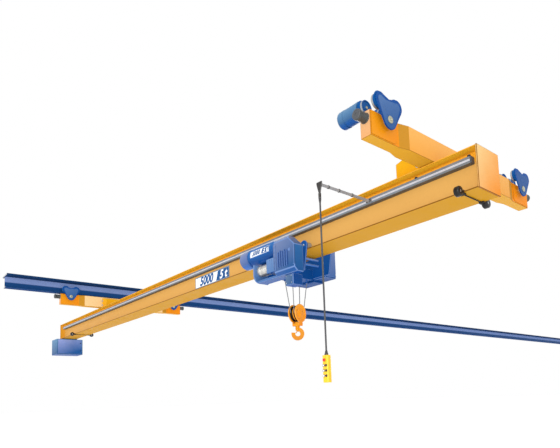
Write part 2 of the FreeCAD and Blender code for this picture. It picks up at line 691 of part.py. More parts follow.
def trolley_wheels(row_x):
    """The front and rear wheel that turn about one line."""
    pieces = []
    for x, side in trolley_wheel_places():
        if x == row_x:
            inner = V(x, side * TROLLEY_WHEEL_INNER_Y, TROLLEY_WHEEL_Z)
            rim_start = V(x, side * (GIRDER_WIDTH / 2 + TROLLEY_RIM_INNER_GAP), TROLLEY_WHEEL_Z)
            rim_end = V(x, side * (TROLLEY_SIDE - TROLLEY_RIM_OUTER_GAP), TROLLEY_WHEEL_Z)
            pieces += wheel(inner, rim_start, rim_end, TROLLEY_WHEEL_RADIUS, TROLLEY_RIM,
                            TROLLEY_AXLE_RADIUS + BEARING_GAP)
    return Part.makeCompound(pieces)


def tie_bars():
    """Round bars under the girder that join the two side plates."""
    bars = []
    for x in (TROLLEY_X - TIE_BAR_X, TROLLEY_X + TIE_BAR_X):
        for depth in TIE_BAR_DEPTHS:
            z = GIRDER_BOTTOM - depth
            bars.append(rod(TIE_BAR_RADIUS, V(x, -TROLLEY_SIDE, z), V(x, TROLLEY_SIDE, z)))
    return Part.makeCompound(bars)


def hoist_motor():
    return rod(MOTOR_RADIUS, V(TROLLEY_X + MOTOR_START, MOTOR_Y, MOTOR_Z),
               V(TROLLEY_X + GEARBOX_START, MOTOR_Y, MOTOR_Z))


def hoist_motor_cap():
    start = V(TROLLEY_X + MOTOR_START, MOTOR_Y, MOTOR_Z)
    cap = rod(MOTOR_RADIUS + MOTOR_CAP_RIM, start, start - V(MOTOR_CAP_LENGTH, 0, 0))
    end_x = start.x - MOTOR_CAP_LENGTH
    return rounded(cap, MOTOR_CAP_ROUND,
                   lambda edge: abs(edge.BoundBox.XMax - end_x) < 1 and edge.BoundBox.XLength < 1)


def hoist_gearbox():
    """A deep shell with bevelled front edges and a sloped corner, on a shorter neck to the plate."""
    x0 = TROLLEY_X + GEARBOX_START
    x1 = x0 + GEARBOX_LENGTH
    top = GIRDER_BOTTOM + GEARBOX_ABOVE
    bottom = GIRDER_BOTTOM - GEARBOX_BELOW
    front = -TROLLEY_OUTER - GEARBOX_DEPTH
    back = front + GEARBOX_SHELL_DEPTH
    cut = GEARBOX_CHAMFER
    outline = [(front, bottom + cut), (front, top - cut), (front + cut, top),
               (back, top), (back, bottom), (front + cut, bottom)]
    shell = prism([V(x0, py, pz) for py, pz in outline], V(x1 - x0, 0, 0))
    corner = V(x1 - GEARBOX_SLOPE_LENGTH, front - CUT_MARGIN, top)
    reach = V(GEARBOX_SLOPE_LENGTH, 0, -GEARBOX_SLOPE_DROP) * 1.1
    above = V(0, 0, CUT_MARGIN)
    sloped = prism([corner, corner + reach, corner + V(reach.x, 0, 0) + above, corner + above],
                   V(0, GEARBOX_SHELL_DEPTH + 2 * CUT_MARGIN, 0))
    neck = box(x0, x0 + GEARBOX_NECK_LENGTH, back - cut, -TROLLEY_OUTER, bottom + cut, top - cut)
    return fuse([shell.cut(sloped), neck])


def rope_drum():
    return rod(DRUM_RADIUS, V(TROLLEY_X + DRUM_START, DRUM_Y, DRUM_Z),
               V(TROLLEY_X + GEARBOX_START, DRUM_Y, DRUM_Z))


def drum_cheek():
    """The plate that carries the drum's free end."""
    x1 = TROLLEY_X + DRUM_START
    x0 = x1 - CHEEK_PLATE
    foot = GIRDER_BOTTOM - CHEEK_BELOW
    plate = box(x0, x1, -TROLLEY_OUTER - CHEEK_DEPTH, -TROLLEY_OUTER, foot, DRUM_TOP_LIMIT - CHEEK_TOP_GAP)
    return rounded(plate, CHEEK_ROUND,
                   lambda edge: runs_along(edge, X_AXIS) and abs(edge.CenterOfMass.z - foot) < 1
                   and edge.CenterOfMass.y < DRUM_Y)


def rope_guide():
    """The housing round the drum's driven end."""
    x1 = TROLLEY_X + GEARBOX_START
    x0 = x1 - GUIDE_LENGTH
    back = -TROLLEY_OUTER - GUIDE_GAP
    body = box(x0, x1, back - GUIDE_DEPTH, back, GIRDER_BOTTOM - GUIDE_BELOW,
               MOTOR_Z - MOTOR_RADIUS - GUIDE_TOP_GAP)
    return body.cut(rod(DRUM_RADIUS + GUIDE_BORE_GAP, V(x0, DRUM_Y, DRUM_Z), V(x1, DRUM_Y, DRUM_Z)))


def hoist_base():
    """The flat bar along the hoist's underside."""
    x0 = TROLLEY_X + DRUM_START
    z0 = GIRDER_BOTTOM - BASE_BELOW
    back = -TROLLEY_OUTER - BASE_GAP
    return box(x0, TROLLEY_X + GEARBOX_START, back - BASE_WIDTH, back, z0, z0 + BASE_THICKNESS)


def limit_switch():
    x0 = TROLLEY_X + SWITCH_START
    top = GIRDER_BOTTOM - GEARBOX_BELOW
    back = -TROLLEY_OUTER - BASE_GAP
    return box(x0, x0 + SWITCH_LENGTH, back - SWITCH_WIDTH, back, top - SWITCH_HEIGHT, top)


def counterweight():
    x0 = TROLLEY_X + WEIGHT_START
    return box(x0, x0 + WEIGHT_LENGTH, TROLLEY_OUTER, TROLLEY_OUTER + WEIGHT_DEPTH,
               GIRDER_BOTTOM - WEIGHT_BELOW, GIRDER_BOTTOM + WEIGHT_ABOVE)


def electric_box():
    x0 = TROLLEY_X + WEIGHT_START + WEIGHT_LENGTH
    body = box(x0, x0 + ELECTRIC_LENGTH, TROLLEY_OUTER, TROLLEY_OUTER + ELECTRIC_DEPTH,
               GIRDER_BOTTOM - ELECTRIC_BELOW, GIRDER_BOTTOM + ELECTRIC_ABOVE)
    back = TROLLEY_OUTER + ELECTRIC_DEPTH
    return rounded(body, ELECTRIC_ROUND,
                   lambda edge: runs_along(edge, Z_AXIS) and edge.CenterOfMass.y > back - 1)


# ---------------------------------------------------------------- ropes, block and hook
def block_point(px, py, pz):
    """A place given square to the hook block, turned as the block is turned under the trolley."""
    turn = math.radians(BLOCK_TURN)
    return V(TROLLEY_X + px * math.cos(turn) - py * math.sin(turn),
             px * math.sin(turn) + py * math.cos(turn), pz)


def rope_frame():
    """The cross frame between the side plates, with a socket for each rope fall."""
    half = ROPE_FRAME_LENGTH / 2
    high = GIRDER_BOTTOM - ROPE_FRAME_BELOW[0]
    low = GIRDER_BOTTOM - ROPE_FRAME_BELOW[1]
    wall = ROPE_FRAME_WALL
    pieces = [box(TROLLEY_X - half, TROLLEY_X + half, -TROLLEY_SIDE, TROLLEY_SIDE, low, low + wall)]
    for side in (-1, 1):
        outer = TROLLEY_X + side * half
        pieces.append(box(outer - side * wall, outer, -TROLLEY_SIDE, TROLLEY_SIDE, low, high))
    for x_side in (-1, 1):
        for y_side in (-1, 1):
            top = block_point(x_side * ROPE_TOP_X, y_side * ROPE_TOP_Y, low)
            pieces.append(rod(SOCKET_RADIUS, top, top - V(0, 0, SOCKET_LENGTH)))
    return fuse(pieces)


def rope_falls():
    """Four straight falls from the sockets down to the sheaves' grooves."""
    top_z = GIRDER_BOTTOM - ROPE_FRAME_BELOW[1] - SOCKET_LENGTH
    reach = SHEAVE_GROOVE_RADIUS + ROPE_RADIUS + RUNNING_GAP
    above = box(TROLLEY_X - ROPE_FRAME_LENGTH, TROLLEY_X + ROPE_FRAME_LENGTH,
                -TROLLEY_SIDE, TROLLEY_SIDE, top_z, top_z + SOCKET_LENGTH)
    falls = []
    for x_side in (-1, 1):
        for y_side in (-1, 1):
            top = block_point(x_side * ROPE_TOP_X, y_side * ROPE_TOP_Y, top_z)
            low = block_point(x_side * SHEAVE_X, y_side * reach, BLOCK_Z)
            past = (top - low).normalize() * ROPE_RADIUS
            falls.append(rod(ROPE_RADIUS, top + past, low).cut(above))
    return Part.makeCompound(falls)


def sheaves():
    wheels = []
    for side in (-1, 1):
        centre = V(TROLLEY_X + side * SHEAVE_X, 0, BLOCK_Z)
        half = V(SHEAVE_THICKNESS / 2, 0, 0)
        groove_half = V(SHEAVE_GROOVE_WIDTH / 2, 0, 0)
        disc = rod(SHEAVE_RADIUS, centre - half, centre + half)
        groove = rod(SHEAVE_RADIUS + CUT_MARGIN, centre - groove_half, centre + groove_half)
        core = rod(SHEAVE_GROOVE_RADIUS, centre - groove_half, centre + groove_half)
        bore = rod(SHEAVE_PIN_RADIUS + BEARING_GAP, centre - half, centre + half)
        wheels.append(disc.cut(groove.cut(core)).cut(bore))
    pair = Part.makeCompound(wheels)
    pair.rotate(V(TROLLEY_X, 0, 0), Z_AXIS, BLOCK_TURN)
    return pair


def block_frame():
    """Round cheeks and a middle plate on the sheave pin, joined to the crosshead below."""
    half_depth = CROSSHEAD_DEPTH / 2
    radius = SHEAVE_RADIUS + BLOCK_RIM
    x0 = TROLLEY_X - BLOCK_OUTER_X
    x1 = TROLLEY_X + BLOCK_OUTER_X
    pieces = []
    for outer, inner in ((x0, x0 + BLOCK_PLATE), (x1, x1 - BLOCK_PLATE)):
        pieces.append(rod(radius, V(inner, 0, BLOCK_Z), V(outer, 0, BLOCK_Z)))
        pieces.append(box(inner, outer, -half_depth, half_depth, CROSSHEAD_LOW, BLOCK_Z))
    middle = BLOCK_MID_PLATE / 2
    pieces.append(rod(SHEAVE_GROOVE_RADIUS, V(TROLLEY_X - middle, 0, BLOCK_Z),
                      V(TROLLEY_X + middle, 0, BLOCK_Z)))
    pieces.append(rod(SHEAVE_PIN_RADIUS, V(x0, 0, BLOCK_Z), V(x1, 0, BLOCK_Z)))
    crosshead = box(x0, x1, -half_depth, half_depth, CROSSHEAD_LOW, CROSSHEAD_TOP)
    pieces.append(crosshead.cut(rod(SHANK_RADIUS + BEARING_GAP, V(TROLLEY_X, 0, CROSSHEAD_LOW),
                                    V(TROLLEY_X, 0, CROSSHEAD_TOP))))
    whole = fuse(pieces)
    whole.rotate(V(TROLLEY_X, 0, 0), Z_AXIS, BLOCK_TURN)
    return whole


def hook():
    """Forged single hook with its shank and nut, turned about the shank."""
    eye = V(TROLLEY_X, 0, CROSSHEAD_LOW - HOOK_EYE_BELOW_HEAD)
    front = eye - V(0, HOOK_THICKNESS / 2, 0)
    through = V(0, HOOK_THICKNESS, 0)
    reach = HOOK_OUTER_RADIUS + CUT_MARGIN
    corner = front + V(0, 0, HOOK_EYE_RADIUS * HOOK_THROAT_START)
    throat = prism([corner, corner + V(-reach, 0, HOOK_OUTER_RADIUS * HOOK_THROAT_RISE),
                    corner + V(-reach, 0, reach), corner + V(-HOOK_EYE_RADIUS / 2, 0, reach)], through)
    bowl = rod(HOOK_OUTER_RADIUS, front, front + through)
    bowl = bowl.cut(throat).cut(rod(HOOK_EYE_RADIUS, front, front + through))
    collar = V(eye.x, 0, CROSSHEAD_LOW - RUNNING_GAP)
    neck = rod(SHANK_RADIUS + SHANK_COLLAR, collar, eye + V(0, 0, HOOK_EYE_RADIUS + HOOK_NECK_OVERLAP))
    shank_top = V(eye.x, 0, CROSSHEAD_TOP + HOOK_NUT_HEIGHT)
    nut = rod(HOOK_NUT_RADIUS, V(eye.x, 0, CROSSHEAD_TOP + RUNNING_GAP), shank_top)
    whole = fuse([bowl, neck, rod(SHANK_RADIUS, collar, shank_top), nut])
    whole.rotate(V(TROLLEY_X, 0, 0), Z_AXIS, HOOK_TURN)
    return whole


def build_nodes():
    nodes = {
        "runway_top_flange": runway_plate(RUNWAY_TOP_WIDTH, -RUNWAY_TOP_FLANGE, 0),
        "runway_web": runway_plate(RUNWAY_WEB, RUNWAY_TREAD, -RUNWAY_TOP_FLANGE),
        "runway_bottom_flange": runway_plate(RUNWAY_WIDTH, RUNWAY_BOTTOM, RUNWAY_TREAD),
        "girder_top_flange": girder_flange(GIRDER_TOP - GIRDER_FLANGE),
        "girder_bottom_flange": girder_flange(GIRDER_BOTTOM),
        "girder_webs": girder_webs(),
        "girder_end_plates": girder_end_plates(),
        "capacity_sign": capacity_sign(),
        "pendant_rail": pendant_rail(),
        "rail_clips": rail_clips(),
        "pendant_runner": pendant_runner(),
        "pendant_arm": pendant_arm(),
        "pendant_yoke": pendant_yoke(),
        "pendant_cable": pendant_cable(),
        "pendant_control": pendant_control(),
        "control_cabinet": cabinet(),
        "cabinet_hanger": cabinet_hanger(),
        "near_carriage_beam": carriage_beam(CARRIAGES["near"]),
        "far_carriage_beam": carriage_beam(CARRIAGES["far"]),
        "near_saddle": saddle(CARRIAGES["near"], -1),
        "far_saddle": saddle(CARRIAGES["far"], 1),
        "carriage_buffers": carriage_buffers(),
        "bogie_plates": bogie_plates(),
        "wheel_axles": wheel_axles(),
        "pivot_pins": pivot_pins(),
        "pivot_spacers": pivot_spacers(),
        "travel_motor": travel_motor(CARRIAGE_SPAN, PIVOTS["front"] - WHEEL_SPACING / 2),
        "stop_clamps": Part.makeCompound([stop_clamp(x) for x in STOPS]),
        "stop_buffers": stop_buffers(),
        "trolley_side_plates": trolley_side_plates(),
        "trolley_axles": trolley_axles(),
        "trolley_tie_bars": tie_bars(),
        "hoist_motor": hoist_motor(),
        "hoist_motor_cap": hoist_motor_cap(),
        "hoist_gearbox": hoist_gearbox(),
        "rope_drum": rope_drum(),
        "drum_cheek": drum_cheek(),
        "rope_guide": rope_guide(),
        "hoist_base": hoist_base(),
        "limit_switch": limit_switch(),
        "counterweight": counterweight(),
        "electric_box": electric_box(),
        "rope_frame": rope_frame(),
        "rope_falls": rope_falls(),
        "hook_block_sheaves": sheaves(),
        "hook_block_frame": block_frame(),
        "hook": hook(),
    }
    for end, pivot_y in PIVOTS.items():
        for place, side in (("first", -1), ("second", 1)):
            nodes[f"{end}_{place}_wheels"] = wheel_row(pivot_y + side * WHEEL_SPACING / 2)
    for place, side in (("far", -1), ("near", 1)):
        nodes[f"trolley_{place}_wheels"] = trolley_wheels(TROLLEY_X + side * TROLLEY_WHEELBASE / 2)
    return nodes


os.makedirs("parts", exist_ok=True)
for node_name, shape in build_nodes().items():
    shape.exportStep(f"parts/{node_name}.step")
    if not shape.isValid():
        print("invalid", node_name)
    print(node_name, len(shape.Solids), round(shape.Volume / 1e6, 2))
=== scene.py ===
"""Looks of an underhung single-girder travelling crane with a rope hoist, around its frame."""
import bpy
import math
from mathutils import Matrix, Vector


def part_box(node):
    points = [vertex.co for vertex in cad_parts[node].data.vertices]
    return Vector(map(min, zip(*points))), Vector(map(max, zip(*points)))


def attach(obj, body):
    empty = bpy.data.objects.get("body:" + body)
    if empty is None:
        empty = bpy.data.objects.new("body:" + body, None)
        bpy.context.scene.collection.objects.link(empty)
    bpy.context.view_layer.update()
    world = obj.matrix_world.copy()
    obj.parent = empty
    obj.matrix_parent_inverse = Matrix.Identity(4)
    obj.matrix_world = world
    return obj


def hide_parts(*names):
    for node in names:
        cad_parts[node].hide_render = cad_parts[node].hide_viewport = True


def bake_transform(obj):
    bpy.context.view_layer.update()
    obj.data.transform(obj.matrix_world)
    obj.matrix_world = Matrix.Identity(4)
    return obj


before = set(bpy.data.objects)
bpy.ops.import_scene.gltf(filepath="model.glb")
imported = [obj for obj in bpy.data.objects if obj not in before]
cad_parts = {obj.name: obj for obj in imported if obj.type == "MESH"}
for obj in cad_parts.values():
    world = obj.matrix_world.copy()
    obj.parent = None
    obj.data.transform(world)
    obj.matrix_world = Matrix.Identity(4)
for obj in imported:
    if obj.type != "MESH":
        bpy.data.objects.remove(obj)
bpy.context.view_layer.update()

# ---- runway beam ----
# An I-section welded from two flanges and a web, shop-painted blue before it is hung. The paint
# is rolled on and satin; the flanges are painted dark navy and the web pale blue, as painted shade
# and light; the sawn ends stay bare and light grey.


def linear(code):
    """A hex colour of the screen as linear red, green, blue and alpha."""
    parts = [int(code[i:i + 2], 16) / 255 for i in (1, 3, 5)]
    return [p / 12.92 if p <= 0.04045 else ((p + 0.055) / 1.055) ** 2.4 for p in parts] + [1.0]


def add(tree, kind, settings=(), links=()):
    """A node with its settings and links; a setting that names no input is the node's own."""
    made = tree.nodes.new(kind)
    for key, value in dict(settings).items():
        if isinstance(key, int) or key in made.inputs:
            made.inputs[key].default_value = value
        else:
            setattr(made, key, value)
    for key, socket in dict(links).items():
        tree.links.new(socket, made.inputs[key])
    return made


def new_material(name, values):
    """A material with these values on its shader, and its node tree."""
    made = bpy.data.materials.new(name)
    made.use_nodes = True
    for key, value in values.items():
        made.node_tree.nodes["Principled BSDF"].inputs[key].default_value = value
    return made, made.node_tree


def wired(material, sockets):
    """A material with these sockets linked to its shader."""
    shader = material.node_tree.nodes["Principled BSDF"]
    for key, socket in sockets.items():
        material.node_tree.links.new(socket, shader.inputs[key])
    return material


def enamel(name, pale, deep, start, end, under=None, rough=0.42, coat=0.03, mottle=0.06):
    """Sprayed two-pack enamel on steel. It fades from pale at one point to deep at another, a painted
    gradient of light and shade; its undersides take a colour of their own, painted shade and light;
    and it has the soft skin of sprayed paint."""
    made, tree = new_material(name, {"Roughness": rough, "Specular IOR Level": 0.08,
                                     "Coat Weight": coat, "Coat Roughness": 0.2})
    place = add(tree, "ShaderNodeTexCoord")
    start, end = Vector(start), Vector(end)
    along = end - start
    offset = add(tree, "ShaderNodeVectorMath", {"operation": "SUBTRACT", 1: start},
                 {0: place.outputs["Object"]})
    share = add(tree, "ShaderNodeVectorMath",
                {"operation": "DOT_PRODUCT", 1: along / along.length_squared}, {0: offset.outputs[0]})
    # Sun and dust leave patches about 0.4 m across.
    patches = add(tree, "ShaderNodeTexNoise", {"Scale": 2.5, "Detail": 4.0, "Roughness": 0.55},
                  {"Vector": place.outputs["Object"]})
    mixed = add(tree, "ShaderNodeMath", {"operation": "MULTIPLY_ADD", 1: 0.35},
                {0: patches.outputs["Fac"], 2: share.outputs["Value"]})
    level = add(tree, "ShaderNodeMapRange", {"From Min": 0.17, "From Max": 1.17},
                {"Value": mixed.outputs[0]})
    tone = add(tree, "ShaderNodeMix", {"data_type": "RGBA", 6: linear(pale), 7: linear(deep)},
               {0: level.outputs["Result"]})
    # The underside takes its own colour: painted shade and light, set by the way a face is turned.
    facing = add(tree, "ShaderNodeSeparateXYZ", {}, {0: place.outputs["Normal"]})
    below = add(tree, "ShaderNodeMapRange", {"From Min": -0.6, "From Max": -0.9},
                {"Value": facing.outputs["Z"]})
    lower = add(tree, "ShaderNodeMix", {"data_type": "RGBA", 7: linear(under or deep)},
                {0: below.outputs["Result"], 6: tone.outputs[2]})
    # Fine grime, about 15 mm, drawn coarser than the real specks so that it shows.
    specks = add(tree, "ShaderNodeTexNoise", {"Scale": 66.0, "Detail": 6.0, "Roughness": 0.7},
                 {"Vector": place.outputs["Object"]})
    dirt = add(tree, "ShaderNodeMapRange",
               {"From Min": 0.3, "From Max": 0.7, "To Min": 1 - mottle, "To Max": 1.0},
               {"Value": specks.outputs["Fac"]})
    final = add(tree, "ShaderNodeMix", {"data_type": "RGBA", "blend_type": "MULTIPLY", 0: 1.0},
                {6: lower.outputs[2], 7: dirt.outputs["Result"]})
    # Orange peel of sprayed enamel, 6 mm, twice its real size.
    peel = add(tree, "ShaderNodeTexNoise", {"Scale": 160.0, "Detail": 2.0},
               {"Vector": place.outputs["Object"]})
    skin = add(tree, "ShaderNodeBump", {"Strength": 0.12, "Distance": 0.001},
               {"Height": peel.outputs["Fac"]})
    gloss = add(tree, "ShaderNodeMapRange",
                {"From Min": 0.3, "From Max": 0.7, "To Min": rough - 0.06, "To Max": rough + 0.08},
                {"Value": patches.outputs["Fac"]})
    return wired(made, {"Base Color": final.outputs[2], "Normal": skin.outputs["Normal"],
                        "Roughness": gloss.outputs["Result"]})


def steel(name, pale, deep, rough, size, stretch=(1, 1, 1), bump=0.2, bare=0.85):
    """Bare or plated steel: fine marks of the given size in millimetres, drawn out along an axis
    where the surface was turned, sawn or drawn."""
    made, tree = new_material(name, {"Metallic": bare})
    place = add(tree, "ShaderNodeTexCoord")
    drawn_out = add(tree, "ShaderNodeMapping", {"Scale": stretch}, {"Vector": place.outputs["Object"]})
    marks = add(tree, "ShaderNodeTexNoise", {"Scale": 1000 / size, "Detail": 5.0, "Roughness": 0.6},
                {"Vector": drawn_out.outputs["Vector"]})
    stains = add(tree, "ShaderNodeTexNoise", {"Scale": 9.0, "Detail": 3.0},
                 {"Vector": place.outputs["Object"]})
    both = add(tree, "ShaderNodeMath", {"operation": "MULTIPLY_ADD", 1: 0.5},
               {0: stains.outputs["Fac"], 2: marks.outputs["Fac"]})
    level = add(tree, "ShaderNodeMapRange", {"From Min": 0.5, "From Max": 1.0},
                {"Value": both.outputs[0]})
    tone = add(tree, "ShaderNodeMix", {"data_type": "RGBA", 6: linear(deep), 7: linear(pale)},
               {0: level.outputs["Result"]})
    gloss = add(tree, "ShaderNodeMapRange", {"To Min": rough - 0.08, "To Max": rough + 0.1},
                {"Value": stains.outputs["Fac"]})
    cut = add(tree, "ShaderNodeBump", {"Strength": bump, "Distance": 0.0005},
              {"Height": marks.outputs["Fac"]})
    return wired(made, {"Base Color": tone.outputs[2], "Roughness": gloss.outputs["Result"],
                        "Normal": cut.outputs["Normal"]})


def pick(*pieces):
    """Only these pieces are selected, and the last one is active."""
    bpy.ops.object.select_all(action="DESELECT")
    for piece in pieces:
        piece.select_set(True)
    bpy.context.view_layer.objects.active = pieces[-1]


def edit(piece, chosen, part="polygons"):
    """Edit mode on a piece, with only the faces or edges selected that the test picks."""
    pick(piece)
    bpy.ops.object.mode_set(mode="EDIT")
    bpy.ops.mesh.select_mode(type="FACE" if part == "polygons" else "EDGE")
    bpy.ops.mesh.select_all(action="DESELECT")
    bpy.ops.object.mode_set(mode="OBJECT")
    for item in getattr(piece.data, part):
        item.select = bool(chosen(item))
    bpy.ops.object.mode_set(mode="EDIT")


def leave():
    bpy.ops.object.mode_set(mode="OBJECT")


def traced(node, name):
    """A merged copy of a frame part, with one face for each flat side."""
    piece = bpy.data.objects.new(name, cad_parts[node].data.copy())
    bpy.context.scene.collection.objects.link(piece)
    piece.data.name = name
    piece.data.materials.clear()
    edit(piece, lambda face: True)
    bpy.ops.mesh.remove_doubles(threshold=0.00002)
    bpy.ops.mesh.dissolve_limited(angle_limit=math.radians(0.5))
    bpy.ops.mesh.normals_make_consistent(inside=False)
    leave()
    return piece


def finish(piece, body, slot, materials, nodes=(), bevel=0.0, segments=2, angle=32, edge=-1):
    """Materials, eased edges, smooth shading and the body that the piece hangs from; its slot is not used."""
    for material in materials:
        piece.data.materials.append(material)
    pick(piece)
    bpy.ops.object.shade_smooth_by_angle(angle=math.radians(angle))
    if bevel:
        ease = piece.modifiers.new("ease", "BEVEL")
        ease.width = bevel
        ease.segments = segments
        ease.limit_method = "ANGLE"
        ease.angle_limit = math.radians(angle)
        ease.harden_normals = True
        ease.material = edge
        bpy.ops.object.modifier_apply(modifier=ease.name)
    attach(piece, body)
    if nodes:
        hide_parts(*nodes)
    return piece


def reworked(node, name, body, slot, materials, *easing, **more):
    """A frame part with its own paint and eased edges, as a merged copy that stands for it."""
    return finish(traced(node, name), body, slot, materials, [node], *easing, **more)


def paint_where(piece, index, chosen):
    """The faces that the test picks take the material with this number."""
    for face in piece.data.polygons:
        if chosen(face):
            face.material_index = index


def tint_band(material, axis, low, high, code):
    """Mix another colour into a paint between two heights or lengths of the whole crane."""
    tree = material.node_tree
    old = tree.nodes["Principled BSDF"].inputs["Base Color"].links[0].from_socket
    place = add(tree, "ShaderNodeTexCoord")
    parts = add(tree, "ShaderNodeSeparateXYZ", {}, {0: place.outputs["Object"]})
    share = add(tree, "ShaderNodeMapRange", {"From Min": low, "From Max": high},
                {"Value": parts.outputs[axis]})
    mixed = add(tree, "ShaderNodeMix", {"data_type": "RGBA", 7: linear(code)},
                {0: share.outputs["Result"], 6: old})
    wired(material, {"Base Color": mixed.outputs[2]})


def fillet_weld(name, corner, length, radius, along, side, up, body, slot, paint):
    """A weld laid into the corner of two plates: a rod with the parts inside the plates cut away."""
    bpy.ops.mesh.primitive_cylinder_add(vertices=12, radius=radius, depth=length, location=corner,
                                        rotation=along)
    weld = bpy.context.object
    weld.name = name
    bpy.ops.object.transform_apply()
    for outward in (side, up):
        edit(weld, lambda face: True)
        bpy.ops.mesh.bisect(plane_co=corner, plane_no=outward, clear_inner=True, use_fill=True)
        leave()
    finish(weld, body, slot, [paint])


run_low, run_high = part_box("runway_bottom_flange")
run_ends = (0, run_low.y, 0), (0, run_high.y, 0)
top_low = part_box("runway_top_flange")[0].z
sawn_end = steel("sawn_steel_end", "#D9DBDC", "#B4B6B8", 0.45, 6.0, (1, 1, 8))
beam_shade_navy = enamel("beam_shade_navy_enamel", "#062F55", "#04264A", *run_ends, "#08305E", rough=0.6, coat=0.0)
beam_web_blue = enamel("beam_web_enamel", "#6E81AF", "#5C73A3", *run_ends)
# The foot of the web is painted the flange's deeper blue, up to a soft line, as painted shade.
web_foot, web_foot_blur = -0.185, 0.012
tint_band(beam_web_blue, "Z", web_foot + web_foot_blur, web_foot - web_foot_blur, "#0A386A")
beam_low_shade_blue = enamel("beam_low_flange_shade_enamel", "#0A386A", "#083060", *run_ends, "#053A74", rough=0.7,
                       coat=0.0)
beam_edge = enamel("beam_edge_enamel", "#062443", "#06203C", *run_ends)
for beam_node, beam_paint in (("runway_top_flange", beam_shade_navy), ("runway_web", beam_web_blue),
                              ("runway_bottom_flange", beam_low_shade_blue)):
    plate = reworked(beam_node, beam_node + "_plate", "runway", "beam_blue",
                     [beam_paint, sawn_end, beam_edge], 0.003, 2, edge=2)
    paint_where(plate, 1, lambda face: abs(face.normal.y) > 0.9)

# The flange welds are long fillets, 8 mm, on both sides of the web.
half_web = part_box("runway_web")[1].x
for weld_number, (weld_z, up, weld_paint) in enumerate(((top_low, -1, beam_shade_navy),
                                                        (run_high.z, 1, beam_low_shade_blue))):
    for side in (-1, 1):
        fillet_weld(f"runway_weld_{weld_number}_{'front' if side > 0 else 'rear'}",
                    Vector((side * half_web, (run_low.y + run_high.y) / 2, weld_z)),
                    run_high.y - run_low.y - 0.01, 0.008, (math.pi / 2, 0, 0), (side, 0, 0), (0, 0, up),
                    "runway", "beam_blue", weld_paint)

# ---- bridge girder ----
# A welded box: two thin webs inside two wide flanges, closed by end plates that stand out a little.
# Amber enamel with painted light and shade: paler webs, a peach highlight fading across the near end
# plate, a brighter underside on the top flange, deeper gold flanges and dark brown flange edges.
web_low, web_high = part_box("girder_webs")
web_ends = (web_low.x, 0, 0), (web_high.x, 0, 0)
rail_low, rail_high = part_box("pendant_rail")
end_low, end_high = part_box("girder_end_plates")
web_lit_amber = enamel("girder_web_lit_enamel", "#BC8B44", "#C2934D", *web_ends, rough=0.5)
# Above the rail the web is painted a stronger gold, as painted shade under the top flange.
tint_band(web_lit_amber, "Z", rail_low.z - 0.01, rail_high.z, "#DC9A26")
flange_shade_gold = enamel("girder_flange_shade_enamel", "#AE7E20", "#A97A1F", *web_ends, "#C8911A", rough=0.55,
                     coat=0.01)
flange_edge_shade = enamel("girder_edge_shade_enamel", "#845714", "#794E12", *web_ends)
end_plate_highlight = enamel("girder_end_highlight_enamel", "#D1AF74", "#CE7806", (0, -0.25, end_high.z - 0.05),
                   (0, 0.25, end_low.z + 0.05), rough=0.4)
far_end_gold = enamel("girder_far_end_enamel", "#C98F28", "#E0A43A", (0, -0.25, 0), (0, 0.25, 0))
top_flange_lit_gold = enamel("girder_top_flange_lit_enamel", "#C88E24", "#CC9228", *web_ends, "#F2B62C")
for flange_node, flange_paint, side_number in (("girder_top_flange", top_flange_lit_gold, 0),
                                               ("girder_bottom_flange", flange_shade_gold, 1)):
    flange = reworked(flange_node, flange_node + "_plate", "bridge", "girder_amber",
                      [flange_paint, flange_edge_shade], 0.004, 2, edge=1)
    paint_where(flange, side_number, lambda face: abs(face.normal.y) > 0.6)
reworked("girder_webs", "girder_web_plates", "bridge", "girder_amber", [web_lit_amber])
closers = reworked("girder_end_plates", "girder_closing_plates", "bridge", "girder_amber",
                   [end_plate_highlight, flange_edge_shade, far_end_gold], 0.007, 3, edge=1)
paint_where(closers, 2, lambda face: face.center.x < 0 and face.material_index == 0)
for side, side_name in ((-1, "front"), (1, "rear")):
    for level_name, weld_z, up in (("low", web_low.z, 1), ("top", web_high.z, -1)):
        fillet_weld(f"girder_weld_{level_name}_{side_name}",
                    Vector(((web_low.x + web_high.x) / 2, side * web_high.y, weld_z)),
                    web_high.x - web_low.x, 0.006, (0, math.pi / 2, 0), (0, side, 0), (0, 0, up),
                    "bridge", "girder_amber", web_lit_amber)

# ---- capacity sign ----
# A sheet-steel sign, pressed in a little inside its rim and enamelled white, with the safe load as
# plain figures. The blue field is a second coat of enamel, with a slanted edge.
sign_low, sign_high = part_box("capacity_sign")
sign_white = enamel("sign_white_enamel", "#E3E3E3", "#D9DCDF", sign_low, sign_high, rough=0.3, coat=0.12,
                    mottle=0.03)
sign_blue = enamel("sign_blue_enamel", "#0C4F89", "#09457C", sign_low, sign_high, rough=0.3, coat=0.12)
sign_grey = enamel("sign_rim_enamel", "#708296", "#62758A", sign_low, sign_high, rough=0.35)
sign_sunk, sign_margin = 0.0018, 0.02


def stepped(piece, chosen, rims, move):
    """The chosen faces inset by each rim in turn; what is left of them moves in or out."""
    edit(piece, chosen)
    for rim in rims:
        bpy.ops.mesh.inset(thickness=rim)
    bpy.ops.transform.translate(value=move)
    leave()


def drawn(name, points, edges=(), faces=()):
    """A piece drawn from points and the edges or faces between them, to be shaped further."""
    mesh = bpy.data.meshes.new(name)
    mesh.from_pydata(points, edges, faces)
    made = bpy.data.objects.new(name, mesh)
    bpy.context.scene.collection.objects.link(made)
    return made


sign = traced("capacity_sign", "capacity_sign_plate")
stepped(sign, lambda face: face.normal.y < -0.9, (0.014, 0.004), (0, sign_sunk, 0))
finish(sign, "bridge", "sign_white", [sign_white, sign_grey], ["capacity_sign"], 0.0015, 2)
field_y = sign_low.y + sign_sunk
paint_where(sign, 1, lambda face: abs(face.normal.y) < 0.5
            or (face.center.y < sign_low.y + 0.004 and abs(face.normal.y) < 0.999)
            or (face.normal.y < -0.9 and abs(face.center.y - sign_low.y) < 0.0005))


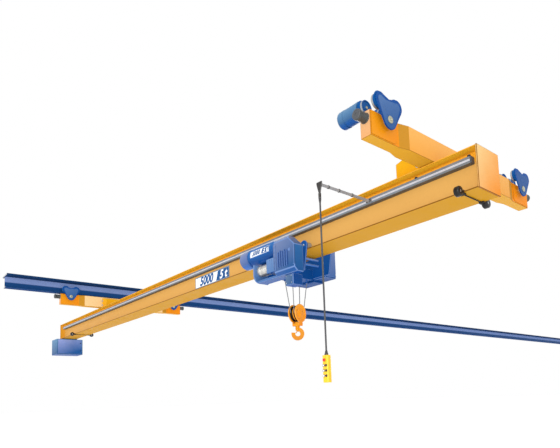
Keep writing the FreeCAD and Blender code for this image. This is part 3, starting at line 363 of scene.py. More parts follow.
def plate_outline(name, points, y, thickness):
    """A thin coat of paint or a thin plate with a straight-edged outline in X and Z, facing -Y."""
    made = drawn(name, [(px, y, pz) for px, pz in points], faces=[range(len(points))])
    edit(made, lambda face: True)
    bpy.ops.mesh.extrude_region_move(TRANSFORM_OT_translate={"value": (0, -thickness, 0)})
    bpy.ops.mesh.select_all(action="SELECT")
    bpy.ops.mesh.normals_make_consistent(inside=False)
    leave()
    return made


def figures(name, text, centre, height, depth, weight):
    """Plain figures, cut from a thin sheet, with their middle at the given point."""
    bpy.ops.object.text_add(rotation=(math.pi / 2, 0, 0))
    made = bpy.context.object
    made.name = name
    made.data.body = text
    made.data.align_x = "CENTER"
    made.data.align_y = "CENTER"
    made.data.size = height
    made.data.extrude = depth
    made.data.offset = weight * height
    made.data.resolution_u = 3
    made.data.shear = 0.25
    made.location = centre
    pick(made)
    bpy.ops.object.convert(target="MESH")
    bpy.ops.object.transform_apply()
    return made


slant, seam_x = 0.07, sign_low.x + (sign_high.x - sign_low.x) * 0.66
field = plate_outline("capacity_sign_field",
                      [(seam_x - slant / 2, sign_low.z + sign_margin),
                       (sign_high.x - sign_margin, sign_low.z + sign_margin),
                       (sign_high.x - sign_margin, sign_high.z - sign_margin),
                       (seam_x + slant / 2, sign_high.z - sign_margin)], field_y, 0.0005)
finish(field, "bridge", "sign_white", [sign_blue])
mid_z = (sign_low.z + sign_high.z) / 2 - 0.004
load_mark = figures("capacity_sign_tonnes", "5 t",
                    ((seam_x + sign_high.x) / 2, field_y - 0.0006, mid_z), 0.23, 0.0004, 0.03)
finish(load_mark, "bridge", "sign_white", [sign_white])
mass_mark = figures("capacity_sign_kilograms", "5000",
                    ((sign_low.x + seam_x) / 2 + 0.01, field_y - 0.0002, mid_z), 0.25, 0.0004, 0.042)
finish(mass_mark, "bridge", "sign_white", [sign_blue])

# ---- pendant cable ----
# One straight run of round rubber-sheathed control cable, 22 mm, that hangs from its gland under the
# arm down to the push-button control. It is 1.96 m long and hangs straight under its own weight.


def rubber(name, pale, deep, rough, grain):
    """Moulded or extruded rubber: matt, with a fine grain in millimetres and a dusty bloom."""
    made, tree = new_material(name, {"Specular IOR Level": 0.4})
    place = add(tree, "ShaderNodeTexCoord")
    bloom = add(tree, "ShaderNodeTexNoise", {"Scale": 14.0, "Detail": 4.0},
                {"Vector": place.outputs["Object"]})
    grains = add(tree, "ShaderNodeTexNoise", {"Scale": 1000 / grain, "Detail": 3.0},
                 {"Vector": place.outputs["Object"]})
    tone = add(tree, "ShaderNodeMix", {"data_type": "RGBA", 6: linear(deep), 7: linear(pale)},
               {0: bloom.outputs["Fac"]})
    matt = add(tree, "ShaderNodeMapRange", {"To Min": rough - 0.1, "To Max": rough + 0.1},
               {"Value": bloom.outputs["Fac"]})
    grain_bump = add(tree, "ShaderNodeBump", {"Strength": 0.3, "Distance": 0.0006},
                     {"Height": grains.outputs["Fac"]})
    return wired(made, {"Base Color": tone.outputs[2], "Roughness": matt.outputs["Result"],
                        "Normal": grain_bump.outputs["Normal"]})


def middle(node):
    """The middle of a frame part, as X, Y and Z."""
    return [(low + high) / 2 for low, high in zip(*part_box(node))]


cable_x, cable_y, _ = middle("pendant_cable")
cable_line = bpy.data.curves.new("pendant_cable_line", "CURVE")
cable_line.dimensions = "3D"
cable_run = cable_line.splines.new("NURBS")
gland_z, cable_foot_z = -0.9575, -2.9175
cable_points = [(cable_x, cable_y, z) for z in (gland_z, -1.6, -2.25, cable_foot_z)]
cable_run.points.add(len(cable_points) - 1)
for point, place in zip(cable_run.points, cable_points):
    point.co = (*place, 1)
cable_run.order_u = 3
cable_run.use_endpoint_u = True
cable_run.resolution_u = 8
cable_line.bevel_depth = 0.011
cable_line.bevel_resolution = 6
cable_sheath = rubber("cable_sheath_rubber", "#4A4A4C", "#262628", 0.55, 3.0)
cable_line.materials.append(cable_sheath)
cable = bpy.data.objects.new("pendant_cable_run", cable_line)
bpy.context.scene.collection.objects.link(cable)
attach(cable, "pendant")
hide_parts("pendant_cable")

# ---- end carriages ----
# Two hollow beams, pressed and welded, wide in the middle and drawn in at their wheel ends, where a
# doubler plate stiffens each wall round the pivot. Amber enamel with painted light and shade: paler
# walls, peach ends and darker tapers.


def block(name, low, high):
    """A square blank between two corners, to be shaped further."""
    low, high = Vector(low), Vector(high)
    bpy.ops.mesh.primitive_cube_add(size=1, location=(low + high) / 2, scale=high - low)
    made = bpy.context.object
    made.name = name
    bpy.ops.object.transform_apply()
    return made


def rounded(piece, chosen, radius, segments):
    """A block with some edges rounded; the test gets the places of an edge's two ends."""
    points = piece.data.vertices
    edit(piece, lambda edge: chosen(*(points[v].co for v in edge.vertices)), "edges")
    bpy.ops.mesh.bevel(offset=radius, segments=segments, affect="EDGES")
    leave()


carriage_bright = enamel("carriage_neck_enamel", "#CF830F", "#CF7809", (0, -1.34, 0), (0, -0.7, 0), "#D9A02C")
carriage_taper_shade = enamel("carriage_taper_shade_enamel", "#AE791C", "#A67118", (0, -1, 0), (0, 2, 0), "#D9A02C")
carriage_wall_lit = enamel("carriage_wall_lit_enamel", "#D1984D", "#CE8E3B", (0, 0, -0.4), (0, 0, -0.65), "#D9A02C",
                       rough=0.5)
# The far carriage's walls are painted paler still, as painted light.
tint_band(carriage_wall_lit, "X", 5.0, 3.0, "#D1AF7C")
carriage_end_highlight = enamel("carriage_end_highlight_enamel", "#CCA176", "#C8905C", (0, 0, -0.36), (0, 0, -0.64))
carriage_edge = enamel("carriage_edge_enamel", "#8D5C15", "#825414", (0, -1, 0), (0, 2, 0))
pin_low, pin_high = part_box("pivot_pins")
pivot_z = middle("pivot_pins")[2]
pivot_ys = (pin_low.y + 0.042, pin_high.y - 0.042)
wall_face, doubler_length = 0.070, 0.44
carriage_xs = {}
for place in ("near", "far"):
    beam_low, beam_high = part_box(place + "_carriage_beam")
    middle_x = carriage_xs[place] = (beam_low.x + beam_high.x) / 2
    beam = reworked(place + "_carriage_beam", place + "_carriage_walls", "bridge", "girder_amber",
                    [carriage_bright, carriage_taper_shade, carriage_wall_lit, carriage_end_highlight, carriage_edge],
                    0.006, 3, 20, edge=4)
    wide_half = (beam_high.x - beam_low.x) / 2
    kept_index = {face.index for face in beam.data.polygons if face.material_index == 4}
    paint_where(beam, 1, lambda face: face.index not in kept_index and 0.2 < abs(face.normal.y) < 0.9)
    paint_where(beam, 2, lambda face: face.index not in kept_index and abs(face.normal.x) > 0.95
                and abs(abs(face.center.x - middle_x) - wide_half) < 0.001)
    paint_where(beam, 3, lambda face: face.index not in kept_index and abs(face.normal.y) > 0.95)
    # Doubler plates, 6 mm, with one rounded corner, are welded on round each pivot.
    for end_number, outer in enumerate((-1, 1)):
        y_out = (beam_low if outer < 0 else beam_high).y - outer * 0.012
        y_in = y_out - outer * doubler_length
        for side in (-1, 1):
            doubler = block(f"{place}_doubler_{end_number}_{'outer' if side > 0 else 'inner'}",
                            (middle_x + side * wall_face, min(y_out, y_in), beam_low.z + 0.012),
                            (middle_x + side * (wall_face + 0.006), max(y_out, y_in), beam_high.z - 0.010))
            rounded(doubler, lambda *ends: all(abs(end.y - y_in) < 0.001 and end.z < beam_low.z + 0.02
                                               for end in ends), 0.07, 8)
            finish(doubler, "bridge", "girder_amber", [carriage_bright, carriage_edge], (), 0.002, 2, edge=1)

# ---- saddles ----
# Welded seats that bolt each carriage down on the girder. Two side plates, a lid that slopes to the
# girder's middle and an end plate, in a stronger yellow coat than the carriages.


def turned(name, start, axis, outline, steps=48, closed=False):
    """A part turned on a lathe: its outline, as pairs of distance and radius, spun about an axis."""
    start, axis = Vector(start), Vector(axis).normalized()
    out = Vector((1, 0, 0)) if abs(axis.z) > 0.9 else Vector((0, 0, 1))
    out = (out - axis * out.dot(axis)).normalized()
    ends = [(i, i + 1) for i in range(len(outline) - 1)] + ([(len(outline) - 1, 0)] if closed else [])
    made = drawn(name, [start + axis * d + out * r for d, r in outline], ends)
    edit(made, lambda item: True, "edges")
    bpy.ops.mesh.spin(steps=steps, angle=2 * math.pi, center=start, axis=axis)
    bpy.ops.mesh.select_all(action="SELECT")
    bpy.ops.mesh.remove_doubles(threshold=0.00001)
    bpy.ops.mesh.normals_make_consistent(inside=False)
    leave()
    return made


def joined(name, pieces):
    """Several pieces as one."""
    pick(*pieces)
    bpy.ops.object.join()
    made = bpy.context.object
    made.name = name
    return made


def bolt(name, place, outward, across=0.024, height=0.012):
    """A hexagon bolt head on its washer, with the chamfer a real one is turned with."""
    place, outward = Vector(place), Vector(outward).normalized()
    washer = turned(name + "_washer", place, outward,
                    [(0, 0), (0, across * 0.62), (0.002, across * 0.62), (0.003, across * 0.56),
                     (0.003, 0)], 20)
    bpy.ops.mesh.primitive_cylinder_add(vertices=6, radius=across * 0.56, depth=height,
                                        location=place + outward * (0.003 + height / 2),
                                        rotation=outward.to_track_quat("Z", "Y").to_euler())
    head = bpy.context.object
    bpy.ops.object.transform_apply()
    top = place + outward * (0.003 + height)
    edit(head, lambda face: (face.center - top).length < 0.001)
    bpy.ops.mesh.bevel(offset=across * 0.08, segments=1, affect="EDGES")
    leave()
    return joined(name, [washer, head])


def bolts(name, places, outward, body, slot, metal, across=0.024, height=0.012):
    """Bolts of one size that face one way, as one piece."""
    made = joined(name, [bolt(f"{name}_{n}", p, outward, across, height) for n, p in enumerate(places)])
    return finish(made, body, slot, [metal])


zinc_bolt = steel("zinc_plated_steel", "#C9CCCE", "#9FA3A6", 0.35, 4.0)
saddle_yellow = enamel("saddle_enamel", "#CB9709", "#CB8B03", (0, 0, -0.4), (0, 0, -0.65), "#E0A41E",
                       rough=0.38)
saddle_edge = enamel("saddle_edge_enamel", "#916710", "#845D0F", (0, 0, -0.4), (0, 0, -0.65))
for place, inward in (("near", -1), ("far", 1)):
    reworked(place + "_saddle", place + "_saddle_plates", "bridge", "girder_amber",
             [saddle_yellow, saddle_edge], 0.006, 3, 12, edge=1)
    seat_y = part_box(place + "_saddle")[0].y
    root_x = carriage_xs[place] + inward * 0.105
    bolts(place + "_saddle_side_bolts", [(root_x + inward * 0.035, seat_y, z) for z in (-0.59, -0.47)],
          (0, -1, 0), "bridge", "bare_steel", zinc_bolt, 0.046, 0.02)
    bolts(place + "_saddle_seat_bolts", [(root_x + inward * 0.37, y, -0.655) for y in (-0.17, 0.17)],
          (0, 0, 1), "bridge", "bare_steel", zinc_bolt, 0.034, 0.018)

# ---- wheel bogies ----
# Heart-shaped side plates, flame-cut from 15 mm steel, that rock on a pivot pin and carry two flanged
# wheels. The plates are pale blue enamel inside a darker cut edge; wheel discs are strong blue.
axle_z, axle_half_gap, axle_root, tread_radius = -0.2347, 0.14, 0.062, 0.085
lobe_share = 0.62  # the pale field of a plate's lobe, as a share of the lobe
bogie_rows = [(x, side, y) for x in carriage_xs.values() for side in (-1, 1) for y in pivot_ys]
heart_edge = enamel("heart_edge_enamel", "#094184", "#063975", (0, 0, -0.15), (0, 0, -0.55))
wheel_blue = enamel("wheel_disc_enamel", "#064C8A", "#05417A", (0, 0, -0.15), (0, 0, -0.35), rough=0.35)
for place, middle_x in carriage_xs.items():
    # The plates' pale field fades from its top front to its foot, as painted light and shade.
    heart_blue = enamel(place + "_heart_enamel", "#446493", "#13437B", (middle_x, -1.2, -0.14),
                        (middle_x, -1.0, -0.55), rough=0.36, coat=0.09)
    plates = traced("bogie_plates", place + "_bogie_hearts")
    edit(plates, lambda face: abs(face.center.x - middle_x) > 1)
    bpy.ops.mesh.delete(type="FACE")
    leave()
    edit(plates, lambda face: abs(face.normal.x) > 0.95)
    bpy.ops.mesh.inset(thickness=0.009)
    leave()
    inner = {face.index for face in plates.data.polygons if face.select}
    for number in {v for face in inner for v in plates.data.polygons[face].vertices}:
        point = plates.data.vertices[number].co
        if point.z > -0.30:
            lobe_y = min((y + w * axle_half_gap for y in pivot_ys for w in (-1, 1)),
                         key=lambda y: abs(y - point.y))
            point.y = lobe_y + (point.y - lobe_y) * lobe_share
            point.z = axle_z + (point.z - axle_z) * lobe_share
    finish(plates, "bridge", "hoist_blue", [heart_edge, heart_blue], ["bogie_plates"])
    paint_where(plates, 1, lambda face: face.index in inner)

pin_olive = steel("olive_passivated_steel", "#C8C6AE", "#8E8E7A", 0.4, 5.0)
tread_steel = steel("rolled_wheel_tread", "#A9AAA8", "#858684", 0.45, 3.0, (6, 1, 1), bare=0.5)
pins, spacers, axles = [], [], []
for middle_x in carriage_xs.values():
    for pivot_y in pivot_ys:
        pins.append(turned("pivot_pin", (middle_x - 0.151, pivot_y, pivot_z), (1, 0, 0),
                           [(0, 0), (0, 0.008), (0.004, 0.010), (0, 0.013), (0, 0.033), (0.003, 0.038),
                            (0.006, 0.042), (0.014, 0.042), (0.014, 0.025), (0.288, 0.025), (0.288, 0.042),
                            (0.296, 0.042), (0.299, 0.038), (0.302, 0.033), (0.302, 0.013), (0.298, 0.010),
                            (0.302, 0.008), (0.302, 0)], 40))
for middle_x, side, pivot_y in bogie_rows:
    spacers.append(turned("spacer", (middle_x + side * wall_face, pivot_y, pivot_z), (side, 0, 0),
                          [(0, 0.0252), (0, 0.040), (0.002, 0.042), (0.050, 0.042), (0.052, 0.040),
                           (0.052, 0.0252)], 32, True))
    for wheel_side in (-1, 1):
        axles.append(turned(
            "axle", (middle_x + side * axle_root, pivot_y + wheel_side * axle_half_gap, axle_z), (side, 0, 0),
            [(0, 0), (0, 0.015), (0.003, 0.018), (0.060, 0.018), (0.060, 0)], 24))
for set_name, parts, node in (("pivot_pin_set", pins, "pivot_pins"),
                              ("pivot_spacer_set", spacers, "pivot_spacers"),
                              ("wheel_axle_set", axles, "wheel_axles")):
    finish(joined(set_name, parts), "bridge", "bare_steel", [pin_olive], [node])
for end_name, pivot_y in zip(("front", "rear"), pivot_ys):
    for row_name, wheel_side in (("first", -1), ("second", 1)):
        axis_y = pivot_y + wheel_side * axle_half_gap
        row = [turned(f"{end_name}_{row_name}_wheel", (x + side * axle_root, axis_y, axle_z), (side, 0, 0),
                      [(0, 0.0182), (0, 0.034), (0.002, 0.036), (0.008, 0.040), (0.008, 0.066),
                       (0.001, 0.072), (0, 0.082), (0.003, 0.085), (0.024, 0.085), (0.047, 0.085),
                       (0.050, 0.088), (0.0515, 0.098), (0.053, 0.100), (0.0565, 0.100), (0.058, 0.098),
                       (0.058, 0.078), (0.052, 0.072), (0.052, 0.040), (0.058, 0.036),
                       (0.058, 0.0182)], 56, True)
               for x in carriage_xs.values() for side in (-1, 1)]
        wheels = joined(f"{end_name}_{row_name}_wheel_row", row)
        node = f"{end_name}_{row_name}_wheels"
        finish(wheels, node, "bare_steel", [wheel_blue, tread_steel], [node], angle=40)
        # The runway's flange has rubbed the inner half of each tread bare.
        paint_where(wheels, 1, lambda face: abs(face.normal.x) < 0.3
                    and abs(math.hypot(face.center.y - axis_y, face.center.z - axle_z)
                            - tread_radius) < 0.0015
                    and min(abs(face.center.x - x) for x in carriage_xs.values()) < 0.087)

# ---- travel drive ----
# A geared motor in a cast and sheet-steel housing, flange-mounted in line with one wheel. Blue
# enamel, painted pale on top and deep below as painted light and shade; the fan cowl at its end is a
# spun sheet cap with rounded edges and a ring grille.


def bolt_circle(x, y, z, radius, first, step):
    """Places on a circle round a line along X, from a first angle on, in degrees."""
    return [Vector((x, y + radius * math.cos(a), z + radius * math.sin(a)))
            for a in map(math.radians, range(first, first + 360, step))]


drive_low, drive_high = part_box("travel_motor")
_, drive_y, drive_z = middle("travel_motor")
drive_blue = enamel("travel_drive_enamel", "#547A9B", "#113D6C", (0, drive_y - 0.05, drive_high.z),
                    (0, drive_y + 0.05, drive_low.z), "#0F4C94", rough=0.34, coat=0.10)
drive = turned("travel_drive_housing", (drive_high.x, drive_y, drive_z), (-1, 0, 0),
               [(0, 0), (0, 0.098), (0.004, 0.103), (0.026, 0.103), (0.030, 0.098), (0.044, 0.098),
                (0.048, 0.102), (0.196, 0.102), (0.200, 0.099), (0.208, 0.099), (0.211, 0.105),
                (0.270, 0.105), (0.281, 0.103), (0.291, 0.096), (0.298, 0.086), (0.300, 0.075),
                (0.300, 0.066), (0.297, 0.064), (0.297, 0.054), (0.300, 0.052), (0.300, 0.044),
                (0.297, 0.042), (0.297, 0.032), (0.300, 0.030), (0.300, 0.020), (0.298, 0)], 64)
finish(drive, "bridge", "hoist_blue", [drive_blue], ["travel_motor"], angle=28)
bolts("travel_drive_bolts", bolt_circle(drive_high.x - 0.030, drive_y, drive_z, 0.088, 30, 60), (-1, 0, 0),
      "bridge", "bare_steel", zinc_bolt, 0.012, 0.006)

# ---- carriage buffers ----
# Moulded rubber buffers screwed to the carriage ends: a round body with a flange at its root and a
# bead at its free end. Their flat faces are painted a paler grey, as painted light.
_, buffers_y, buffer_z = middle("carriage_buffers")
buffer_lit_face = rubber("buffer_lit_face_rubber", "#505256", "#323437", 0.45, 6.0)
black_buffer = rubber("buffer_rubber", "#4A4E4D", "#1C1E1F", 0.38, 6.0)
for place, middle_x in carriage_xs.items():
    pair = []
    for side in (-1, 1):
        end_y = buffers_y + side * 1.84
        pair.append(turned("buffer", (middle_x, end_y, buffer_z), (0, side, 0),
                           [(0, 0), (0, 0.060), (0.006, 0.060), (0.009, 0.056), (0.030, 0.055),
                            (0.108, 0.056), (0.116, 0.060), (0.134, 0.060), (0.144, 0.057), (0.149, 0.050),
                            (0.150, 0.042), (0.147, 0.038), (0.147, 0.014), (0.143, 0.012),
                            (0.143, 0)], 48))
    stop_pair = joined(place + "_carriage_buffer_pair", pair)
    finish(stop_pair, "bridge", "grey_rubber", [black_buffer, buffer_lit_face], ["carriage_buffers"], angle=35)
    # The flat faces take the paler grey: painted light.
    paint_where(stop_pair, 1, lambda face: abs(face.normal.y) > 0.7)

# ---- pendant rail ----
# A cold-rolled C-section, hot-dip galvanised, that runs along the front web on pads. Two pale rubber
# lips close its slot against dust, their pale colour a painted highlight along the rail; the slider's
# neck parts them. Its ends have pressed caps.
rail_grey = steel("galvanised_rail", "#747A80", "#62686E", 0.5, 30.0, (0.2, 1, 1), 0.1, 0.3)
rail_dark = steel("galvanised_rail_shade", "#66635F", "#52504C", 0.6, 30.0, (0.2, 1, 1), 0.1, 0.3)
rail_edge = steel("rail_edge_zinc", "#4F5357", "#3E4246", 0.5, 10.0, bare=0.3)
lip_highlight_rubber = rubber("lip_highlight_pale_rubber", "#B6B6BE", "#A4A5AC", 0.5, 8.0)
rail = reworked("pendant_rail", "pendant_rail_section", "bridge", "rail_zinc",
                [rail_grey, rail_dark, rail_edge], 0.0025, 2, edge=2)
paint_where(rail, 1, lambda face: face.normal.z < -0.9 and face.center.z < rail_low.z + 0.002)
slot_z = middle("pendant_rail")[2]
for lip_side in (-1, 1):
    lip = block(f"pendant_rail_lip_{'upper' if lip_side > 0 else 'lower'}",
                (rail_low.x + 0.004, rail_low.y + 0.001, slot_z + lip_side * 0.0005),
                (rail_high.x - 0.004, rail_low.y + 0.005, slot_z + lip_side * 0.0130))
    finish(lip, "bridge", "grey_rubber", [lip_highlight_rubber], (), 0.0015, 2)
caps = []
for end_x, turn in ((rail_low.x, -1), (rail_high.x, 1)):
    cap = block("cap", (min(end_x, end_x + turn * 0.012), rail_low.y + 0.002, rail_low.z + 0.002),
                (max(end_x, end_x + turn * 0.012), rail_high.y - 0.002, rail_high.z - 0.002))
    stepped(cap, lambda face: face.normal.x * turn > 0.9, (0.012,), (turn * 0.006, 0, 0))
    caps.append(cap)
finish(joined("pendant_rail_caps", caps), "bridge", "rail_zinc", [rail_edge], (), 0.003, 3)
black_bolt = steel("blacked_steel", "#3A3A3C", "#1E1E20", 0.5, 4.0)
rail_stop_xs = (10.87, 11.585)
bolts("rail_stop_bolts", [(x, rail_low.y + 0.012, rail_high.z) for x in rail_stop_xs], (0, 0, 1),
      "bridge", "bare_steel", black_bolt, 0.034, 0.016)
reworked("rail_clips", "rail_clip_pads", "bridge", "rail_zinc", [rail_edge], 0.002, 2)

# ---- trolley stops ----
# Forged clamps round both edges of the bottom flange, drawn together by a threaded rod below, each
# with a black rubber disc that the trolley runs against.
stop_low, stop_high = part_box("stop_buffers")
stop_black = rubber("stop_disc_rubber", "#161618", "#060607", 0.3, 5.0)
clamp_brown = enamel("stop_clamp_enamel", "#2C2725", "#1F1C1B", (0, 0, -1.1), (0, 0, -1.2), rough=0.5)
reworked("stop_clamps", "stop_clamp_set", "bridge", "bare_steel", [clamp_brown], 0.002, 2)
discs, hubs = [], []
disc_radius, disc_length = 0.060, 0.070
for disc_x in (stop_low.x, stop_high.x - disc_length):
    for side in (-1, 1):
        at = (disc_x, side * (stop_high.y - disc_radius), middle("stop_buffers")[2])
        discs.append(turned("disc", at, (1, 0, 0),
                            [(0, 0.020), (0, 0.046), (0.004, 0.054), (0.012, 0.060), (0.030, 0.060),
                             (0.033, 0.056), (0.037, 0.056), (0.040, 0.060), (0.058, 0.060), (0.066, 0.054),
                             (0.070, 0.046), (0.070, 0.020), (0.064, 0.018), (0.006, 0.018)], 44, True))
        hubs.append(turned("hub", at, (1, 0, 0),
                           [(0.004, 0), (0.004, 0.014), (0.006, 0.018), (0.064, 0.018), (0.066, 0.014),
                            (0.066, 0)], 24))
finish(joined("stop_disc_set", discs), "bridge", "black_rubber", [stop_black], ["stop_buffers"], angle=35)
finish(joined("stop_hub_set", hubs), "bridge", "bare_steel", [zinc_bolt])

# ---- control cabinet ----
# A folded sheet-steel cabinet with a hung door, under the girder's far end. Blue enamel with painted
# light and shade, pale at the top and deep at the foot, with pale painted highlights on its corners;
# two quarter-turn locks, hinges, and blank plugs in the cable holes of its floor.
box_low, box_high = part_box("control_cabinet")
cabinet_blue = enamel("cabinet_enamel", "#547999", "#284A74", (0, 0, box_high.z), (0, 0, box_low.z),
                      "#1F4F96", rough=0.45)
door_blue = enamel("cabinet_door_enamel", "#7D8CC0", "#174A84", (0, -0.25, box_high.z),
                   (0, -0.01, box_low.z), rough=0.42, coat=0.07)
cabinet_edge_highlight = enamel("cabinet_edge_highlight_enamel", "#7085AE", "#6177A4", box_low, box_high)
reworked("control_cabinet", "control_cabinet_shell", "bridge", "hoist_blue", [cabinet_blue, cabinet_edge_highlight],
         0.005, 3, edge=1)
door = block("control_cabinet_door", (box_high.x - 0.002, box_low.y + 0.035, box_low.z + 0.03),
             (box_high.x + 0.014, box_high.y - 0.035, box_high.z - 0.02))
stepped(door, lambda face: face.normal.x > 0.9, (0.03,), (-0.003, 0, 0))
finish(door, "bridge", "hoist_blue", [door_blue, cabinet_edge_highlight], (), 0.003, 2, edge=1)
locks, hinges = [], []
for share in (0.25, 0.75):
    z = box_low.z + (box_high.z - box_low.z) * share
    locks.append(turned("lock", (box_high.x + 0.013, box_high.y - 0.075, z), (1, 0, 0),
                        [(0, 0), (0, 0.018), (0.004, 0.018), (0.006, 0.015), (0.006, 0.006), (0.003, 0.005),
                         (0.003, 0)], 28))
    hinges.append(turned("hinge", (box_high.x + 0.008, box_low.y + 0.026, z - 0.04), (0, 0, 1),
                         [(0, 0), (0, 0.008), (0.002, 0.010), (0.038, 0.010), (0.040, 0.008), (0.042, 0.010),
                          (0.078, 0.010), (0.080, 0.008), (0.080, 0)], 20))
plugs = [turned("plug", (box_low.x + 0.18, -0.24 + 0.12 * n, box_low.z + 0.001), (0, 0, 1),
                [(0, 0), (0, 0.016), (0.0005, 0.018), (0.0008, 0)], 20) for n in range(5)]
finish(joined("cabinet_locks", locks), "bridge", "bare_steel", [black_bolt])
finish(joined("cabinet_hinges", hinges), "bridge", "hoist_blue", [cabinet_blue])
finish(joined("cabinet_blank_plugs", plugs), "bridge", "grey_rubber", [black_buffer])
reworked("cabinet_hanger", "cabinet_hanger_plate", "bridge", "hoist_blue", [clamp_brown], 0.002, 2)

# ---- hoist trolley ----
# Two flame-cut side plates carry the wheels on the girder's bottom flange, joined below it by round
# tie bars with nuts. Strong blue enamel, with pale painted highlights on its edges.
trolley_low, trolley_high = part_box("trolley_side_plates")
trolley_x = middle("trolley_side_plates")[0]
trolley_blue = enamel("trolley_plate_enamel", "#164C8E", "#083C7A", (0, 0, trolley_high.z),
                      (0, 0, trolley_low.z), "#0E4A90", rough=0.4)
edge_highlight_blue = enamel("hoist_edge_highlight_enamel", "#6982AF", "#5470A2", trolley_low, trolley_high, rough=0.35)
reworked("trolley_side_plates", "trolley_side_plate_pair", "trolley", "hoist_blue",
         [trolley_blue, edge_highlight_blue], 0.005, 2, 25, edge=1)
trolley_wheel_z, trolley_wheel_y, trolley_tread_radius = -1.0837, 0.150, 0.056
trolley_axle_set, nut_places = [], {-1: [], 1: []}
for node_place, wheel_x in (("far", trolley_x - 0.51), ("near", trolley_x + 0.51)):
    pair = []
    for side in (-1, 1):
        pair.append(turned("wheel", (wheel_x, side * trolley_wheel_y, trolley_wheel_z), (0, side, 0),
                           [(0, 0.0152), (0, 0.026), (0.005, 0.028), (0.005, 0.044), (0, 0.046), (0, 0.053),
                            (0.002, 0.055), (0.090, 0.055), (0.092, 0.060), (0.094, 0.066), (0.100, 0.067),
                            (0.102, 0.065), (0.102, 0.034), (0.098, 0.030), (0.098, 0.022), (0.102, 0.020),
                            (0.102, 0.0152)], 40, True))
        trolley_axle_set.append(turned(
            "stub", (wheel_x, side * trolley_wheel_y, trolley_wheel_z), (0, side, 0),
            [(0, 0), (0, 0.012), (0.003, 0.015), (0.105, 0.015), (0.105, 0)], 24))
        nut_places[side].append((wheel_x, side * 0.275, trolley_wheel_z))
    wheels = joined(f"trolley_{node_place}_wheel_pair", pair)
    node = f"trolley_{node_place}_wheels"
    finish(wheels, node, "bare_steel", [wheel_blue, tread_steel], [node], angle=40)
    paint_where(wheels, 1, lambda face: abs(math.hypot(face.center.x - wheel_x,
                                                       face.center.z - trolley_wheel_z)
                                            - trolley_tread_radius) < 0.0015)
finish(joined("trolley_axle_set", trolley_axle_set), "trolley", "bare_steel", [pin_olive], ["trolley_axles"])
bars = [turned("bar", (trolley_x + bar_x, -0.255, bar_z), (0, 1, 0),
               [(0, 0), (0, 0.020), (0.020, 0.020), (0.022, 0.018), (0.026, 0.018), (0.028, 0.020),
                (0.482, 0.020), (0.484, 0.018), (0.488, 0.018), (0.490, 0.020), (0.510, 0.020),
                (0.510, 0)], 32)
        for bar_x in (-0.27, 0.27) for bar_z in (-1.200, -1.290)]
# The tie bars are painted pale on top and deep below, as painted light and shade.
tie_blue = enamel("tie_bar_enamel", "#6E84B1", "#4969A1", (0, 0, -1.18), (0, 0, -1.31), "#2F66B4", rough=0.3,
                  coat=0.12)
finish(joined("trolley_tie_bar_set", bars), "trolley", "hoist_blue", [tie_blue], ["trolley_tie_bars"])
for side, side_name, nut_height in ((1, "rear", 0.016), (-1, "front", 0.008)):
    bolts(f"trolley_{side_name}_axle_nuts", nut_places[side], (0, side, 0), "trolley", "bare_steel",
          zinc_bolt, 0.032, nut_height)

# ---- hoist motor ----
# A round motor housing of rolled steel with a cast end flange, and a deep-drawn fan cap at its far
# end. Blue enamel, painted light on top and deep below as painted light and shade. A curved plate on
# its front shows the safe load in plain figures.
motor_low, motor_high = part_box("hoist_motor")
_, motor_y, motor_z = middle("hoist_motor")
motor_blue = enamel("hoist_motor_enamel", "#185F9F", "#023472", (0, motor_y - 0.08, motor_z + 0.13),
                    (0, motor_y - 0.04, motor_z - 0.12), "#0F4488", rough=0.32, coat=0.12)
motor_body = turned("hoist_motor_housing", (motor_low.x, motor_y, motor_z), (1, 0, 0),
                    [(0, 0), (0, 0.145), (0.020, 0.145), (0.024, 0.141), (0.034, 0.141), (0.038, 0.145),
                     (0.630, 0.145), (0.634, 0.140), (0.645, 0.140), (0.650, 0.145), (0.698, 0.145),
                     (0.700, 0)], 72)
finish(motor_body, "trolley", "hoist_blue", [motor_blue], ["hoist_motor"], angle=28)
cap_low, cap_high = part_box("hoist_motor_cap")
cap_blue = enamel("hoist_cap_enamel", "#68749B", "#305085", (cap_low.x, motor_y - 0.1, motor_z + 0.12),
                  (cap_low.x + 0.1, motor_y, motor_z - 0.15), "#2F62AE", rough=0.32, coat=0.12)
cap = turned("hoist_motor_fan_cap", (cap_high.x, motor_y, motor_z), (-1, 0, 0),
             [(0, 0), (0, 0.150), (0.003, 0.155), (0.016, 0.155), (0.019, 0.151), (0.024, 0.151),
              (0.027, 0.155), (0.190, 0.155), (0.207, 0.152), (0.222, 0.143), (0.233, 0.130),
              (0.239, 0.118), (0.240, 0.108), (0.240, 0.100), (0.236, 0.098), (0.236, 0.088),
              (0.240, 0.086), (0.240, 0.076), (0.236, 0.074), (0.236, 0.064), (0.240, 0.062),
              (0.240, 0.052), (0.236, 0.050), (0.236, 0.040), (0.240, 0.038), (0.240, 0)], 72)
finish(cap, "trolley", "hoist_blue", [cap_blue], ["hoist_motor_cap"], angle=28)
label_start, label_end = motor_low.x + 0.090, motor_high.x - 0.130


def curved_plate(name, x0, x1, low_turn, high_turn, radius, thickness, lean=0.0):
    """A thin plate rolled to the motor's curve, between two angles above the level front."""
    first, last = math.radians(low_turn), math.radians(high_turn)
    made = drawn(name, [(x - lean / 2, motor_y - radius * math.cos(first), motor_z + radius * math.sin(first))
                        for x in (x0, x1)], [(0, 1)])
    edit(made, lambda item: True, "edges")
    bpy.ops.mesh.spin(steps=14, angle=last - first, center=(0, motor_y, motor_z), axis=(1, 0, 0))
    leave()
    if sum(face.normal.y for face in made.data.polygons) > 0:
        made.data.flip_normals()
    wall = made.modifiers.new("wall", "SOLIDIFY")
    wall.thickness = thickness
    wall.offset = 1
    pick(made)
    bpy.ops.object.modifier_apply(modifier=wall.name)
    for vertex in made.data.vertices:
        turn = math.atan2(vertex.co.z - motor_z, motor_y - vertex.co.y)
        vertex.co.x += lean * (turn - first) / (last - first)
    return made


